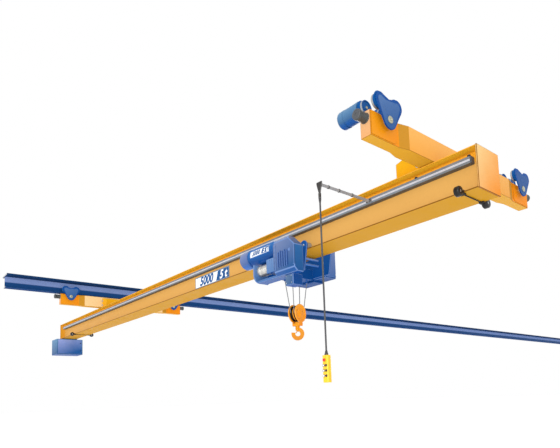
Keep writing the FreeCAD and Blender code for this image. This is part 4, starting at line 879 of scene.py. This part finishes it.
label_white = enamel("label_enamel", "#D5D5D5", "#CACED3", motor_low, motor_high, rough=0.28, coat=0.15,
                     mottle=0.02)
label_rim = enamel("label_rim_enamel", "#7D91B6", "#6A82AE", motor_low, motor_high)
label_margin = 0.012
finish(curved_plate("hoist_label_rim", label_start - label_margin, label_end + label_margin, -14, 30,
                    0.1452, 0.0015), "trolley", "hoist_blue", [label_rim])
finish(curved_plate("hoist_label_plate", label_start, label_end, -11, 27, 0.1466, 0.0012),
       "trolley", "sign_white", [label_white])
split = label_start + (label_end - label_start) * 0.64
finish(curved_plate("hoist_label_field", split, label_end - label_margin, -9, 25, 0.1478, 0.0006, 0.030),
       "trolley", "sign_white", [sign_blue])
for mark_name, mark_text, mark_x, mark_paint, lift in (
        ("hoist_label_tonnes", "5 t", (split + label_end) / 2, label_white, 0.1490),
        ("hoist_label_kilograms", "5000", (label_start + split) / 2 - 0.006, sign_blue, 0.1482)):
    mark = figures(mark_name, mark_text, (mark_x, motor_y - 0.2, motor_z + 0.018), 0.102, 0.0004, 0.04)
    for vertex in mark.data.vertices:
        outward = lift + (0.0003 if vertex.co.y < motor_y - 0.2 else -0.0003)
        turn = (vertex.co.z - motor_z) / lift
        vertex.co.y = motor_y - outward * math.cos(turn)
        vertex.co.z = motor_z + outward * math.sin(turn)
    finish(mark, "trolley", "sign_white", [mark_paint])
# A thin cable duct along the motor's upper front, painted pale: a painted highlight line along the housing.
highlight_duct = curved_plate("hoist_highlight_duct", motor_low.x + 0.045, motor_high.x - 0.060, 45, 52, 0.145, 0.010)
finish(highlight_duct, "trolley", "hoist_blue", [edge_highlight_blue], (), 0.002, 2)

# ---- hoist gearbox ----
# A cast housing with sloped front corners. Its front has a joint flange at the motor's side, cooling
# ribs in the lower middle and a filler plug; every cast edge is rounded and painted pale as a painted
# highlight. The front fades from pale at its top left to deep below, and the sides take a deeper blue,
# as painted light and shade.
gear_low, gear_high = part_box("hoist_gearbox")
gear_front = enamel("gearbox_front_enamel", "#667294", "#1D497B", (gear_low.x, -0.6, gear_high.z),
                    (gear_low.x + 0.30, -0.5, gear_low.z + 0.05), "#174F9C", rough=0.34, coat=0.10)
gear_side_shade = enamel("gearbox_side_shade_enamel", "#2B5F94", "#17487E", (0, 0, gear_high.z), (0, 0, gear_low.z),
                   "#174F9C", rough=0.4)
gearbox = reworked("hoist_gearbox", "hoist_gearbox_casting", "trolley", "hoist_blue",
                   [gear_front, edge_highlight_blue, gear_side_shade], 0.012, 4, edge=1)
paint_where(gearbox, 2, lambda face: face.normal.x > 0.9 and face.material_index == 0)
gear_flange = block("gear_flange", (gear_low.x, gear_low.y - 0.010, gear_low.z + 0.085),
                    (gear_low.x + 0.050, gear_low.y + 0.02, gear_high.z - 0.095))
stepped(gear_flange, lambda face: face.normal.y < -0.9, (0.010,), (0, -0.004, 0))
right_flange = block("right_flange", (gear_high.x - 0.030, gear_low.y - 0.008, gear_low.z + 0.095),
                     (gear_high.x, gear_low.y + 0.02, gear_high.z - 0.190))
stepped(right_flange, lambda face: face.normal.y < -0.9, (0.006,), (0, -0.003, 0))
finish(joined("hoist_gearbox_flanges", [gear_flange, right_flange]), "trolley", "hoist_blue",
       [gear_front, edge_highlight_blue], (), 0.004, 2, edge=1)
ribs, rib_gap, rib_width = [], 0.052, 0.016
for n in range(5):
    rib_x = gear_low.x + 0.105 + rib_gap * n
    rib = block("rib", (rib_x, gear_low.y - 0.020, gear_low.z + 0.11),
                (rib_x + rib_width, gear_low.y + 0.01, gear_low.z + 0.36 + 0.015 * (n % 2)))
    rounded(rib, lambda *ends: all(end.z > gear_low.z + 0.3 and end.y < gear_low.y for end in ends), 0.018, 4)
    ribs.append(rib)
rib_dark = enamel("gearbox_rib_enamel", "#224989", "#143A77", (0, 0, gear_high.z), (0, 0, gear_low.z))
finish(joined("hoist_gearbox_ribs", ribs), "trolley", "hoist_blue", [rib_dark, edge_highlight_blue], (), 0.004, 2,
       edge=1)
plug = turned("hoist_filler_plug", (gear_high.x - 0.11, gear_low.y, gear_high.z - 0.25), (0, -1, 0),
              [(0, 0.026), (0.004, 0.026), (0.007, 0.022), (0.007, 0.016), (0.016, 0.016), (0.018, 0.013),
               (0.018, 0)], 28)
finish(plug, "trolley", "hoist_blue", [edge_highlight_blue])
bolts("hoist_flange_bolts", [(gear_low.x + 0.025, gear_low.y - 0.014, gear_low.z + z)
                             for z in (0.13, 0.21, 0.29, 0.37, 0.45)], (0, -1, 0),
      "trolley", "hoist_blue", gear_front, 0.016, 0.007)

# ---- rope drum and its housing ----
# A turned steel drum with rope grooves, 14 mm apart, between a plate that carries its free end and a
# ribbed guide housing at its driven end. Mid-blue enamel, pale at the top front and deep at the bottom
# back as painted light and shade; a flat bar ties both ends below.
drum_low, drum_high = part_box("rope_drum")
_, drum_y, drum_z = middle("rope_drum")
drum_steel = steel("turned_drum_steel", "#CFCECA", "#A5A39E", 0.3, 40.0, (1, 0.2, 0.2), 0.05)
drum_length, land_radius, groove_pitch = drum_high.x - drum_low.x, 0.0945, 0.014
drum_outline = [(0, 0), (0, 0.095), (0.075, 0.095), (0.078, 0.0915)]
for n in range(int((drum_length - 0.12) / groove_pitch)):
    for share, depth in ((0, 0.0), (0.25, 0.0025), (0.5, 0.0035), (0.75, 0.0025)):
        drum_outline.append((0.080 + groove_pitch * (n + share), land_radius - depth))
drum_outline += [(drum_length - 0.02, land_radius), (drum_length, land_radius), (drum_length, 0)]
drum = turned("rope_drum_turned", (drum_low.x, drum_y, drum_z), (1, 0, 0), drum_outline, 56)
finish(drum, "trolley", "drum_steel", [drum_steel], ["rope_drum"], angle=50)
hoist_mid = enamel("hoist_housing_enamel", "#5A78A2", "#2A568C", (0, -0.57, -1.25), (0, -0.35, -1.54),
                   "#1B539E", rough=0.38, coat=0.07)
reworked("drum_cheek", "drum_cheek_plate", "trolley", "hoist_blue", [hoist_mid, edge_highlight_blue], 0.004, 3, 25,
         edge=1)
cheek_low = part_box("drum_cheek")[0]
bearing = turned("drum_bearing_cap", (cheek_low.x, drum_y, drum_z), (-1, 0, 0),
                 [(0, 0.075), (0.006, 0.075), (0.010, 0.070), (0.010, 0.045), (0.018, 0.040), (0.020, 0.034),
                  (0.020, 0)], 44)
finish(bearing, "trolley", "hoist_blue", [hoist_mid])
bolts("drum_bearing_bolts", bolt_circle(cheek_low.x - 0.010, drum_y, drum_z, 0.058, 0, 60), (-1, 0, 0),
      "trolley", "bare_steel", zinc_bolt, 0.014, 0.007)
reworked("rope_guide", "rope_guide_housing", "trolley", "hoist_blue", [hoist_mid, edge_highlight_blue], 0.005, 3, 25,
         edge=1)
guide_low, guide_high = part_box("rope_guide")
guide_ribs = [block("guide_rib", (guide_low.x + 0.03 + 0.05 * n, guide_low.y - 0.007, guide_low.z + 0.02),
                    (guide_low.x + 0.038 + 0.05 * n, guide_low.y + 0.003, guide_high.z - 0.015))
              for n in range(4)]
finish(joined("rope_guide_ribs", guide_ribs), "trolley", "hoist_blue", [hoist_mid, edge_highlight_blue], (), 0.002, 2,
       edge=1)
reworked("hoist_base", "hoist_base_bar", "trolley", "hoist_blue", [hoist_mid, edge_highlight_blue], 0.005, 3, edge=1)

# ---- limit switch, counterweight and electric box ----
# Sheet-steel housings in the same blue. The switch box has a screwed lid, the counterweight is a stack
# of flame-cut slabs on a core, drawn together by tie rods, and the electric box has a screwed cover.
# The switch lid and the box cover are painted paler than the sides, as painted light and shade.
switch_low, switch_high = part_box("limit_switch")
switch_face = enamel("switch_lid_enamel", "#516886", "#274A74", (switch_low.x, 0, switch_high.z),
                     (switch_high.x, 0, switch_low.z), "#174F9C", rough=0.4)
switch = reworked("limit_switch", "limit_switch_box", "trolley", "hoist_blue",
                  [switch_face, edge_highlight_blue, trolley_blue], 0.006, 3, edge=1)
# The switch box's sides take the deeper trolley blue, as painted shade.
paint_where(switch, 2, lambda face: abs(face.normal.x) > 0.9 and face.material_index == 0)
lid = block("limit_switch_lid", (switch_low.x + 0.008, switch_low.y - 0.008, switch_low.z + 0.010),
            (switch_high.x - 0.008, switch_low.y + 0.002, switch_high.z - 0.012))
stepped(lid, lambda face: face.normal.y < -0.9, (0.012,), (0, -0.003, 0))
finish(lid, "trolley", "hoist_blue", [switch_face, edge_highlight_blue], (), 0.003, 2, edge=1)
bolts("limit_switch_screws", [(switch_low.x + dx, switch_low.y - 0.0105, switch_low.z + dz)
                              for dx in (0.030, 0.150) for dz in (0.032, 0.138)], (0, -1, 0),
      "trolley", "bare_steel", zinc_bolt, 0.011, 0.004)
weight_low, weight_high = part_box("counterweight")
weight_blue = enamel("counterweight_enamel", "#124582", "#083670", (weight_low.x, 0, 0),
                     (weight_high.x, 0, 0), "#0C4488", rough=0.45)
slabs, slab_count, slab_gap = [], 6, 0.004
slab_height = (weight_high.z - weight_low.z - (slab_count - 1) * slab_gap) / slab_count
for n in range(slab_count):
    z = weight_low.z + n * (slab_height + slab_gap)
    slabs.append(block("slab", (weight_low.x, weight_low.y, z),
                       (weight_high.x, weight_high.y, z + slab_height)))
core = block("core", (weight_low.x + 0.012, weight_low.y, weight_low.z + 0.01),
             (weight_high.x - 0.012, weight_high.y - 0.012, weight_high.z - 0.01))
finish(joined("counterweight_slabs", slabs + [core]), "trolley", "hoist_blue", [weight_blue, trolley_blue],
       ["counterweight"], 0.004, 2, edge=1)
bolts("counterweight_tie_nuts", [(x, y, weight_high.z) for x in (weight_low.x + 0.08, weight_high.x - 0.08)
                                 for y in (weight_low.y + 0.06, weight_high.y - 0.06)], (0, 0, 1),
      "trolley", "bare_steel", zinc_bolt, 0.036, 0.02)
panel_low, panel_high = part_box("electric_box")
panel_side_shade = enamel("electric_box_side_shade_enamel", "#06407C", "#052F66", (0, panel_low.y, 0),
                    (0, panel_high.y, 0), "#0C4488", rough=0.42)
panel_face = enamel("electric_box_cover_enamel", "#6777A1", "#33548B", (0, panel_low.y, panel_high.z),
                    (0, panel_high.y, panel_low.z), rough=0.38, coat=0.07)
reworked("electric_box", "electric_box_shell", "trolley", "hoist_blue", [panel_side_shade, edge_highlight_blue], 0.005, 3,
         edge=1)
cover = block("electric_box_cover", (panel_high.x - 0.004, panel_low.y + 0.020, panel_low.z + 0.018),
              (panel_high.x + 0.012, panel_high.y - 0.014, panel_high.z - 0.018))
stepped(cover, lambda face: face.normal.x > 0.9, (0.022,), (0.004, 0, 0))
finish(cover, "trolley", "hoist_blue", [panel_face, edge_highlight_blue], (), 0.004, 3, edge=1)
bolts("electric_box_screws", [(panel_high.x + 0.0135, y, z)
                              for y in (panel_low.y + 0.034, panel_high.y - 0.030)
                              for z in (panel_low.z + 0.06, panel_high.z - 0.06)], (1, 0, 0),
      "trolley", "bare_steel", zinc_bolt, 0.013, 0.005)

# ---- rope frame ----
# A welded cross frame under the girder that carries the four rope sockets. Its flame-cut plates have
# the trolley's blue enamel, with pale painted highlights on their edges.
reworked("rope_frame", "rope_frame_plates", "trolley", "hoist_blue", [trolley_blue, edge_highlight_blue], 0.003, 2,
         25, edge=1)

# ---- rope falls ----
# Four falls of wire rope, 14 mm, each six strands laid round a core. Bright drawn wire, lightly
# greased. Each runs straight from the trolley to the hook block.
rope_wire = steel("drawn_rope_wire", "#77797B", "#505254", 0.45, 2.0, bare=0.4)
rope_top_z, block_z = -1.535, -2.055
strand_turns, steps, around = 5.0, 72, 24
block_turn = math.radians(12)
hang = Matrix.Translation((trolley_x, 0, 0)) @ Matrix.Rotation(block_turn, 4, "Z")
falls = []
for x_side in (-1, 1):
    for y_side in (-1, 1):
        top = hang @ Vector((x_side * 0.076, y_side * 0.196, rope_top_z))
        low = hang @ Vector((x_side * 0.034, y_side * 0.1253, block_z))
        ring = []
        for k in range(around):
            a = 2 * math.pi * k / around
            lobe = 0.0058 + 0.0012 * abs(math.cos(3 * a))
            ring.append((top.x + lobe * math.cos(a), top.y + lobe * math.sin(a), top.z))
        fall = drawn("fall", ring, faces=[range(around)])
        edit(fall, lambda face: True)
        bpy.ops.mesh.extrude_region_move(TRANSFORM_OT_translate={"value": (0, 0, low.z - top.z)})
        bpy.ops.mesh.select_all(action="SELECT")
        bpy.ops.mesh.normals_make_consistent(inside=False)
        leave()
        edit(fall, lambda edge: abs(fall.data.vertices[edge.vertices[0]].co.z
                                    - fall.data.vertices[edge.vertices[1]].co.z) > 0.1, "edges")
        bpy.ops.mesh.subdivide(number_cuts=steps - 1)
        leave()
        for vertex in fall.data.vertices:
            share = (vertex.co.z - top.z) / (low.z - top.z)
            turn = Matrix.Rotation(2 * math.pi * strand_turns * share, 3, "Z")
            out = turn @ Vector((vertex.co.x - top.x, vertex.co.y - top.y, 0))
            vertex.co = top.lerp(low, share) + out
        falls.append(fall)
rope_set = joined("rope_falls_wire", falls)
rope_set.data.materials.append(rope_wire)
pick(rope_set)
bpy.ops.object.shade_smooth_by_angle(angle=math.radians(50))
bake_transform(rope_set)
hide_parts("rope_falls")

# ---- hook block ----
# Two cast sheaves turn on a pin between round steel covers and a middle plate, over the crosshead
# that carries the hook. Covers in gloss orange with a raised rim, painted pale cream on their edges
# and bolt heads as a painted highlight; sheaves blackened and greasy.
strap_foot_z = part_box("hook_block_frame")[0].z
sheave_root, cover_root, strap_face, strap_half = 0.034, 0.056, 0.0725, 0.045
hook_gloss = enamel("hook_block_gloss_enamel", "#DD8E08", "#D47A04", (0, -0.1, block_z + 0.15),
                    (0, 0.1, block_z - 0.2), rough=0.2, coat=0.2)
hook_rim_highlight = enamel("hook_block_rim_highlight_enamel", "#CA9D4F", "#C48529", (0, -0.1, block_z + 0.15),
                  (0, 0.1, block_z - 0.2), rough=0.2, coat=0.24)
sheave_black = steel("greased_sheave_iron", "#2E2C2A", "#151413", 0.45, 6.0)
sheave_pair = joined("hook_block_sheave_pair", [
    turned("sheave", (side * sheave_root - 0.018, 0, block_z), (1, 0, 0),
           [(0, 0.0222), (0, 0.034), (0.002, 0.036), (0.009, 0.040), (0.009, 0.092), (0.001, 0.100),
            (0, 0.128), (0.002, 0.132), (0.006, 0.132), (0.009, 0.126), (0.012, 0.120), (0.018, 0.118),
            (0.024, 0.120), (0.027, 0.126), (0.030, 0.132), (0.034, 0.132), (0.036, 0.128), (0.035, 0.100),
            (0.027, 0.092), (0.027, 0.040), (0.034, 0.036), (0.036, 0.034), (0.036, 0.0222)], 64, True)
    for side in (-1, 1)])
sheave_pair.data.transform(hang)
finish(sheave_pair, "hook_block", "black_rubber", [sheave_black], ["hook_block_sheaves"], angle=35)
frame_parts = []
for side in (-1, 1):
    frame_parts.append(turned("cover", (side * cover_root, 0, block_z), (side, 0, 0),
                              [(0, 0), (0, 0.147), (0.003, 0.152), (0.013, 0.152), (0.018, 0.149),
                               (0.020, 0.143), (0.020, 0.128), (0.017, 0.122), (0.013, 0.102),
                               (0.013, 0.060), (0.016, 0.054), (0.019, 0.046), (0.0195, 0.030),
                               (0.020, 0.027), (0.020, 0)], 72))
    strap = block("strap", (side * cover_root, -strap_half, strap_foot_z),
                  (side * strap_face, strap_half, block_z - 0.10))
    rounded(strap, lambda a, b: abs(a.z - strap_foot_z) < 0.001 and abs(b.z - strap_foot_z) < 0.001
            and abs(a.y - b.y) < 0.001, 0.014, 4)
    frame_parts.append(strap)
frame_parts.append(turned("middle", (-0.012, 0, block_z), (1, 0, 0),
                          [(0, 0), (0, 0.114), (0.004, 0.118), (0.020, 0.118), (0.024, 0.114),
                           (0.024, 0)], 56))
frame_parts.append(turned("pin", (-cover_root, 0, block_z), (1, 0, 0),
                          [(0, 0), (0, 0.022), (2 * cover_root, 0.022), (2 * cover_root, 0)], 32))
covers = joined("hook_block_covers", frame_parts)
covers.data.transform(hang)
finish(covers, "hook_block", "hook_orange", [hook_gloss, hook_rim_highlight], ["hook_block_frame"], 0.0015, 2, 30,
       edge=1)
cross_low = block_z - 0.207
crosshead = block("hook_block_crosshead", (-cover_root, -strap_half, cross_low),
                  (cover_root, strap_half, cross_low + 0.045))
crosshead.data.transform(hang)
finish(crosshead, "hook_block", "hook_orange", [hook_gloss, hook_rim_highlight], (), 0.008, 4, edge=1)
for side, side_name in ((1, "right"), (-1, "left")):
    places = [hang @ place for place in bolt_circle(side * strap_face, 0, block_z, 0.082, 30, 120)]
    bolts(f"hook_block_{side_name}_bolts", places,
          (side * math.cos(block_turn), side * math.sin(block_turn), 0),
          "hook_block", "hook_orange", hook_rim_highlight, 0.018, 0.006)

# ---- hook ----
# A single hook, drop-forged and painted orange, with a turned shank and nut. Its bowl is thickest
# below and its edges are rounded by the die. A latch, pressed from 3 mm sheet, closes its throat: it
# turns on a barrel hinge across the neck, and a spring holds it shut.
forged_orange = enamel("forged_hook_enamel", "#BE7A06", "#B67004", (0, 0, -2.25), (0, 0, -2.49), "#C47E06",
                       rough=0.3, coat=0.05)
reworked("hook", "forged_hook", "hook", "hook_orange", [forged_orange], 0.013, 4, 30)
latch_sheet, latch_depth = 0.003, 0.014
latch = block("hook_latch", (0, -0.016, -0.046), (latch_depth, 0.016, -0.002))
edit(latch, lambda face: face.normal.x > 0.9)
bpy.ops.mesh.inset(thickness=latch_sheet)
bpy.ops.mesh.extrude_region_move(TRANSFORM_OT_translate={"value": (latch_sheet - latch_depth, 0, 0)})
leave()
latch = joined("hook_latch", [latch, turned("barrel", (0.004, -0.021, 0), (0, 1, 0),
                                            [(0, 0), (0, 0.005), (0.001, 0.006), (0.041, 0.006),
                                             (0.042, 0.005), (0.042, 0)], 24)])
hook_turn, latch_lean = math.radians(49), math.radians(33)
latch.data.transform(Matrix.Translation((trolley_x, 0, 0)) @ Matrix.Rotation(hook_turn, 4, "Z")
                     @ Matrix.Translation((-0.0125, 0, -2.334)) @ Matrix.Rotation(latch_lean, 4, "Y"))
finish(latch, "hook", "hook_orange", [forged_orange], (), 0.0008, 2)

# ---- pendant arm ----
# A slider in the rail carries a drawn steel tube with three clamped collars. At its tip a flat yoke
# holds the cable gland, whose rubber boot tapers on to the cable.
arm_low, arm_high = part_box("pendant_arm")
arm_z, arm_length = middle("pendant_arm")[2], arm_high.y - arm_low.y
arm_grey = steel("zinc_plated_tube", "#9C9DA0", "#75777B", 0.5, 10.0, bare=0.3)
collar_dark = steel("dark_collar_steel", "#3C3A38", "#262422", 0.5, 5.0, bare=0.4)
tube = turned("pendant_arm_tube", (cable_x, arm_high.y, arm_z), (0, -1, 0),
              [(0, 0), (0, 0.022), (0.030, 0.022), (0.034, 0.019), (arm_length - 0.03, 0.019),
               (arm_length - 0.004, 0.019), (arm_length, 0.016), (arm_length, 0)], 40)
finish(tube, "pendant", "rail_zinc", [arm_grey], ["pendant_arm"])
rings = [turned("ring", (cable_x, arm_high.y - arm_length * share, arm_z), (0, -1, 0),
                [(0, 0.0188), (0, 0.022), (0.002, 0.024), (0.012, 0.024), (0.014, 0.022), (0.014, 0.0188)],
                36, True) for share in (0.35, 0.62, 0.83)]
finish(joined("pendant_arm_collars", rings), "pendant", "bare_steel", [collar_dark])
reworked("pendant_runner", "pendant_slider", "pendant", "rail_zinc", [collar_dark, arm_grey], 0.003, 2,
         edge=1)
reworked("pendant_yoke", "pendant_yoke_plate", "pendant", "rail_zinc", [collar_dark, arm_grey], 0.002, 2,
         25, edge=1)
boot_rubber = rubber("gland_boot_rubber", "#3C3C3E", "#1E1E20", 0.5, 3.0)
boots = [turned("boot", (cable_x, cable_y, gland_z), (0, 0, -1),
                [(0, 0.0112), (0, 0.018), (0.010, 0.018), (0.014, 0.0165), (0.018, 0.0175), (0.024, 0.0155),
                 (0.028, 0.0165), (0.034, 0.0145), (0.038, 0.0155), (0.046, 0.0135), (0.055, 0.0125),
                 (0.055, 0.0112)], 32, True)]
boots.append(turned("boot", (cable_x, cable_y, cable_foot_z), (0, 0, 1),
                    [(0, 0.0112), (0, 0.024), (0.016, 0.024), (0.020, 0.019), (0.026, 0.020), (0.032, 0.017),
                     (0.038, 0.018), (0.046, 0.015), (0.055, 0.013), (0.055, 0.0112)], 32, True))
finish(joined("pendant_cable_boots", boots), "pendant", "black_rubber", [boot_rubber])

# ---- pendant control ----
# A hand-held push-button case, injection-moulded in two yellow shells with a rubber seal between,
# with six domed buttons in guards and one red mushroom stop button.


def moulded(name, pale, deep, rough, grain):
    """Injection-moulded plastic with a fine spark-eroded grain, in millimetres."""
    made, tree = new_material(name, {"Roughness": rough})
    place = add(tree, "ShaderNodeTexCoord")
    wear = add(tree, "ShaderNodeTexNoise", {"Scale": 20.0, "Detail": 4.0},
               {"Vector": place.outputs["Object"]})
    tone = add(tree, "ShaderNodeMix", {"data_type": "RGBA", 6: linear(deep), 7: linear(pale)},
               {0: wear.outputs["Fac"]})
    sparks = add(tree, "ShaderNodeTexNoise", {"Scale": 1000 / grain, "Detail": 2.0},
                 {"Vector": place.outputs["Object"]})
    grain_bump = add(tree, "ShaderNodeBump", {"Strength": 0.15, "Distance": 0.0004},
                     {"Height": sparks.outputs["Fac"]})
    return wired(made, {"Base Color": tone.outputs[2], "Normal": grain_bump.outputs["Normal"]})


case_yellow = moulded("yellow_case_plastic", "#F2BE22", "#E0A910", 0.4, 1.5)
button_black = moulded("black_button_plastic", "#3A3A3C", "#1C1C1E", 0.35, 1.5)
button_white = moulded("white_button_plastic", "#F2F2F0", "#DADAD6", 0.35, 1.5)
button_red = moulded("red_button_plastic", "#D8281C", "#B81A12", 0.3, 1.5)
case_low, case_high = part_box("pendant_control")
reworked("pendant_control", "pendant_control_case", "pendant", "control_plastic", [case_yellow], 0.006, 4,
         20)
seam_y, seal_proud = (case_low.y + case_high.y) / 2, 0.0005
seam = block("pendant_control_seal", (case_low.x - seal_proud, seam_y - 0.002, case_low.z + 0.02),
             (case_high.x + seal_proud, seam_y + 0.002, case_high.z - 0.02))
finish(seam, "pendant", "control_plastic", [button_black], (), 0.0004, 1)
guards, blacks, whites = [], [], []
column_gap, row_gap = 0.040, 0.062
for n in range(6):
    column, row_number = n % 2, n // 2
    at = (cable_x + (column - 0.5) * column_gap, case_low.y, case_high.z - 0.125 - row_number * row_gap)
    guards.append(turned("guard", at, (0, -1, 0),
                         [(-0.002, 0.0125), (-0.002, 0.017), (0.005, 0.0165), (0.006, 0.015),
                          (0.006, 0.0125)],
                         28, True))
    (blacks if column else whites).append(
        turned("button", at, (0, -1, 0), [(-0.002, 0), (-0.002, 0.012), (0.004, 0.012), (0.007, 0.010),
                                          (0.0085, 0.005), (0.009, 0)][::-1], 28))
stop_button = turned("pendant_stop_button", (cable_x, case_low.y, case_high.z - 0.060), (0, -1, 0),
                     [(-0.002, 0), (-0.002, 0.010), (0.008, 0.010), (0.009, 0.019), (0.014, 0.020),
                      (0.019, 0.017), (0.022, 0.010), (0.023, 0)], 32)
finish(joined("pendant_button_guards", guards), "pendant", "control_plastic", [button_black])
finish(joined("pendant_lift_buttons", blacks), "pendant", "control_plastic", [button_black])
finish(joined("pendant_travel_buttons", whites), "pendant", "control_plastic", [button_white])
finish(stop_button, "pendant", "control_plastic", [button_red])

# ---- floor, light and view ----
# A plain pale floor far below the crane, an even white sky, a broad soft lamp from the front right
# that casts no shadows, and a weaker one from behind.
bpy.ops.mesh.primitive_grid_add(x_subdivisions=4, y_subdivisions=4, size=400, location=(0, 0, -6.8))
floor = bpy.context.object
floor.name = "floor"
floor_paint, _ = new_material("pale_floor_coating", {"Base Color": linear("#FAFAFA"), "Roughness": 0.9,
                                                     "Specular IOR Level": 0.1})
floor.data.materials.append(floor_paint)

world = bpy.data.worlds.new("white_studio")
bpy.context.scene.world = world
world.use_nodes = True
world.node_tree.nodes["Background"].inputs["Color"].default_value = (1, 1, 1, 1)
world.node_tree.nodes["Background"].inputs["Strength"].default_value = 1.0
for lamp_name, strength, towards, shadows in (("soft_lamp", 3.0, (0.55, -0.75, -0.05), False),
                                              ("soft_back_lamp", 1.5, (-0.6, 0.75, 0.3), True)):
    lamp_data = bpy.data.lights.new(lamp_name, "SUN")
    lamp_data.energy = strength
    lamp_data.angle = math.radians(50)
    lamp_data.use_shadow = shadows
    lamp = bpy.data.objects.new(lamp_name, lamp_data)
    lamp.rotation_euler = Vector(towards).to_track_quat("Z", "Y").to_euler()
    bpy.context.scene.collection.objects.link(lamp)
bpy.context.scene.view_settings.view_transform = "Standard"

# The camera stands at the near end of the girder, a little below it, and looks slightly up.
yaw, pitch, roll = math.radians(50.28), math.radians(5.65), math.radians(-1.887)
ahead = Vector((-math.sin(yaw) * math.cos(pitch), math.cos(yaw) * math.cos(pitch), math.sin(pitch)))
level_right = Vector((math.cos(yaw), math.sin(yaw), 0))
level_up = level_right.cross(ahead)
right = math.cos(roll) * level_right + math.sin(roll) * level_up
up = -math.sin(roll) * level_right + math.cos(roll) * level_up
camera_data = bpy.data.cameras.new("camera")
camera_data.lens = 32.02
camera_data.sensor_width = 36
camera_data.shift_y = 0.22
camera_data.clip_end = 500
camera = bpy.data.objects.new("camera", camera_data)
camera.matrix_world = (Matrix.Translation((14.3598, -5.381, -3.3953))
                       @ Matrix((right, up, -ahead)).transposed().to_4x4())
bpy.context.scene.collection.objects.link(camera)
bpy.context.scene.camera = camera
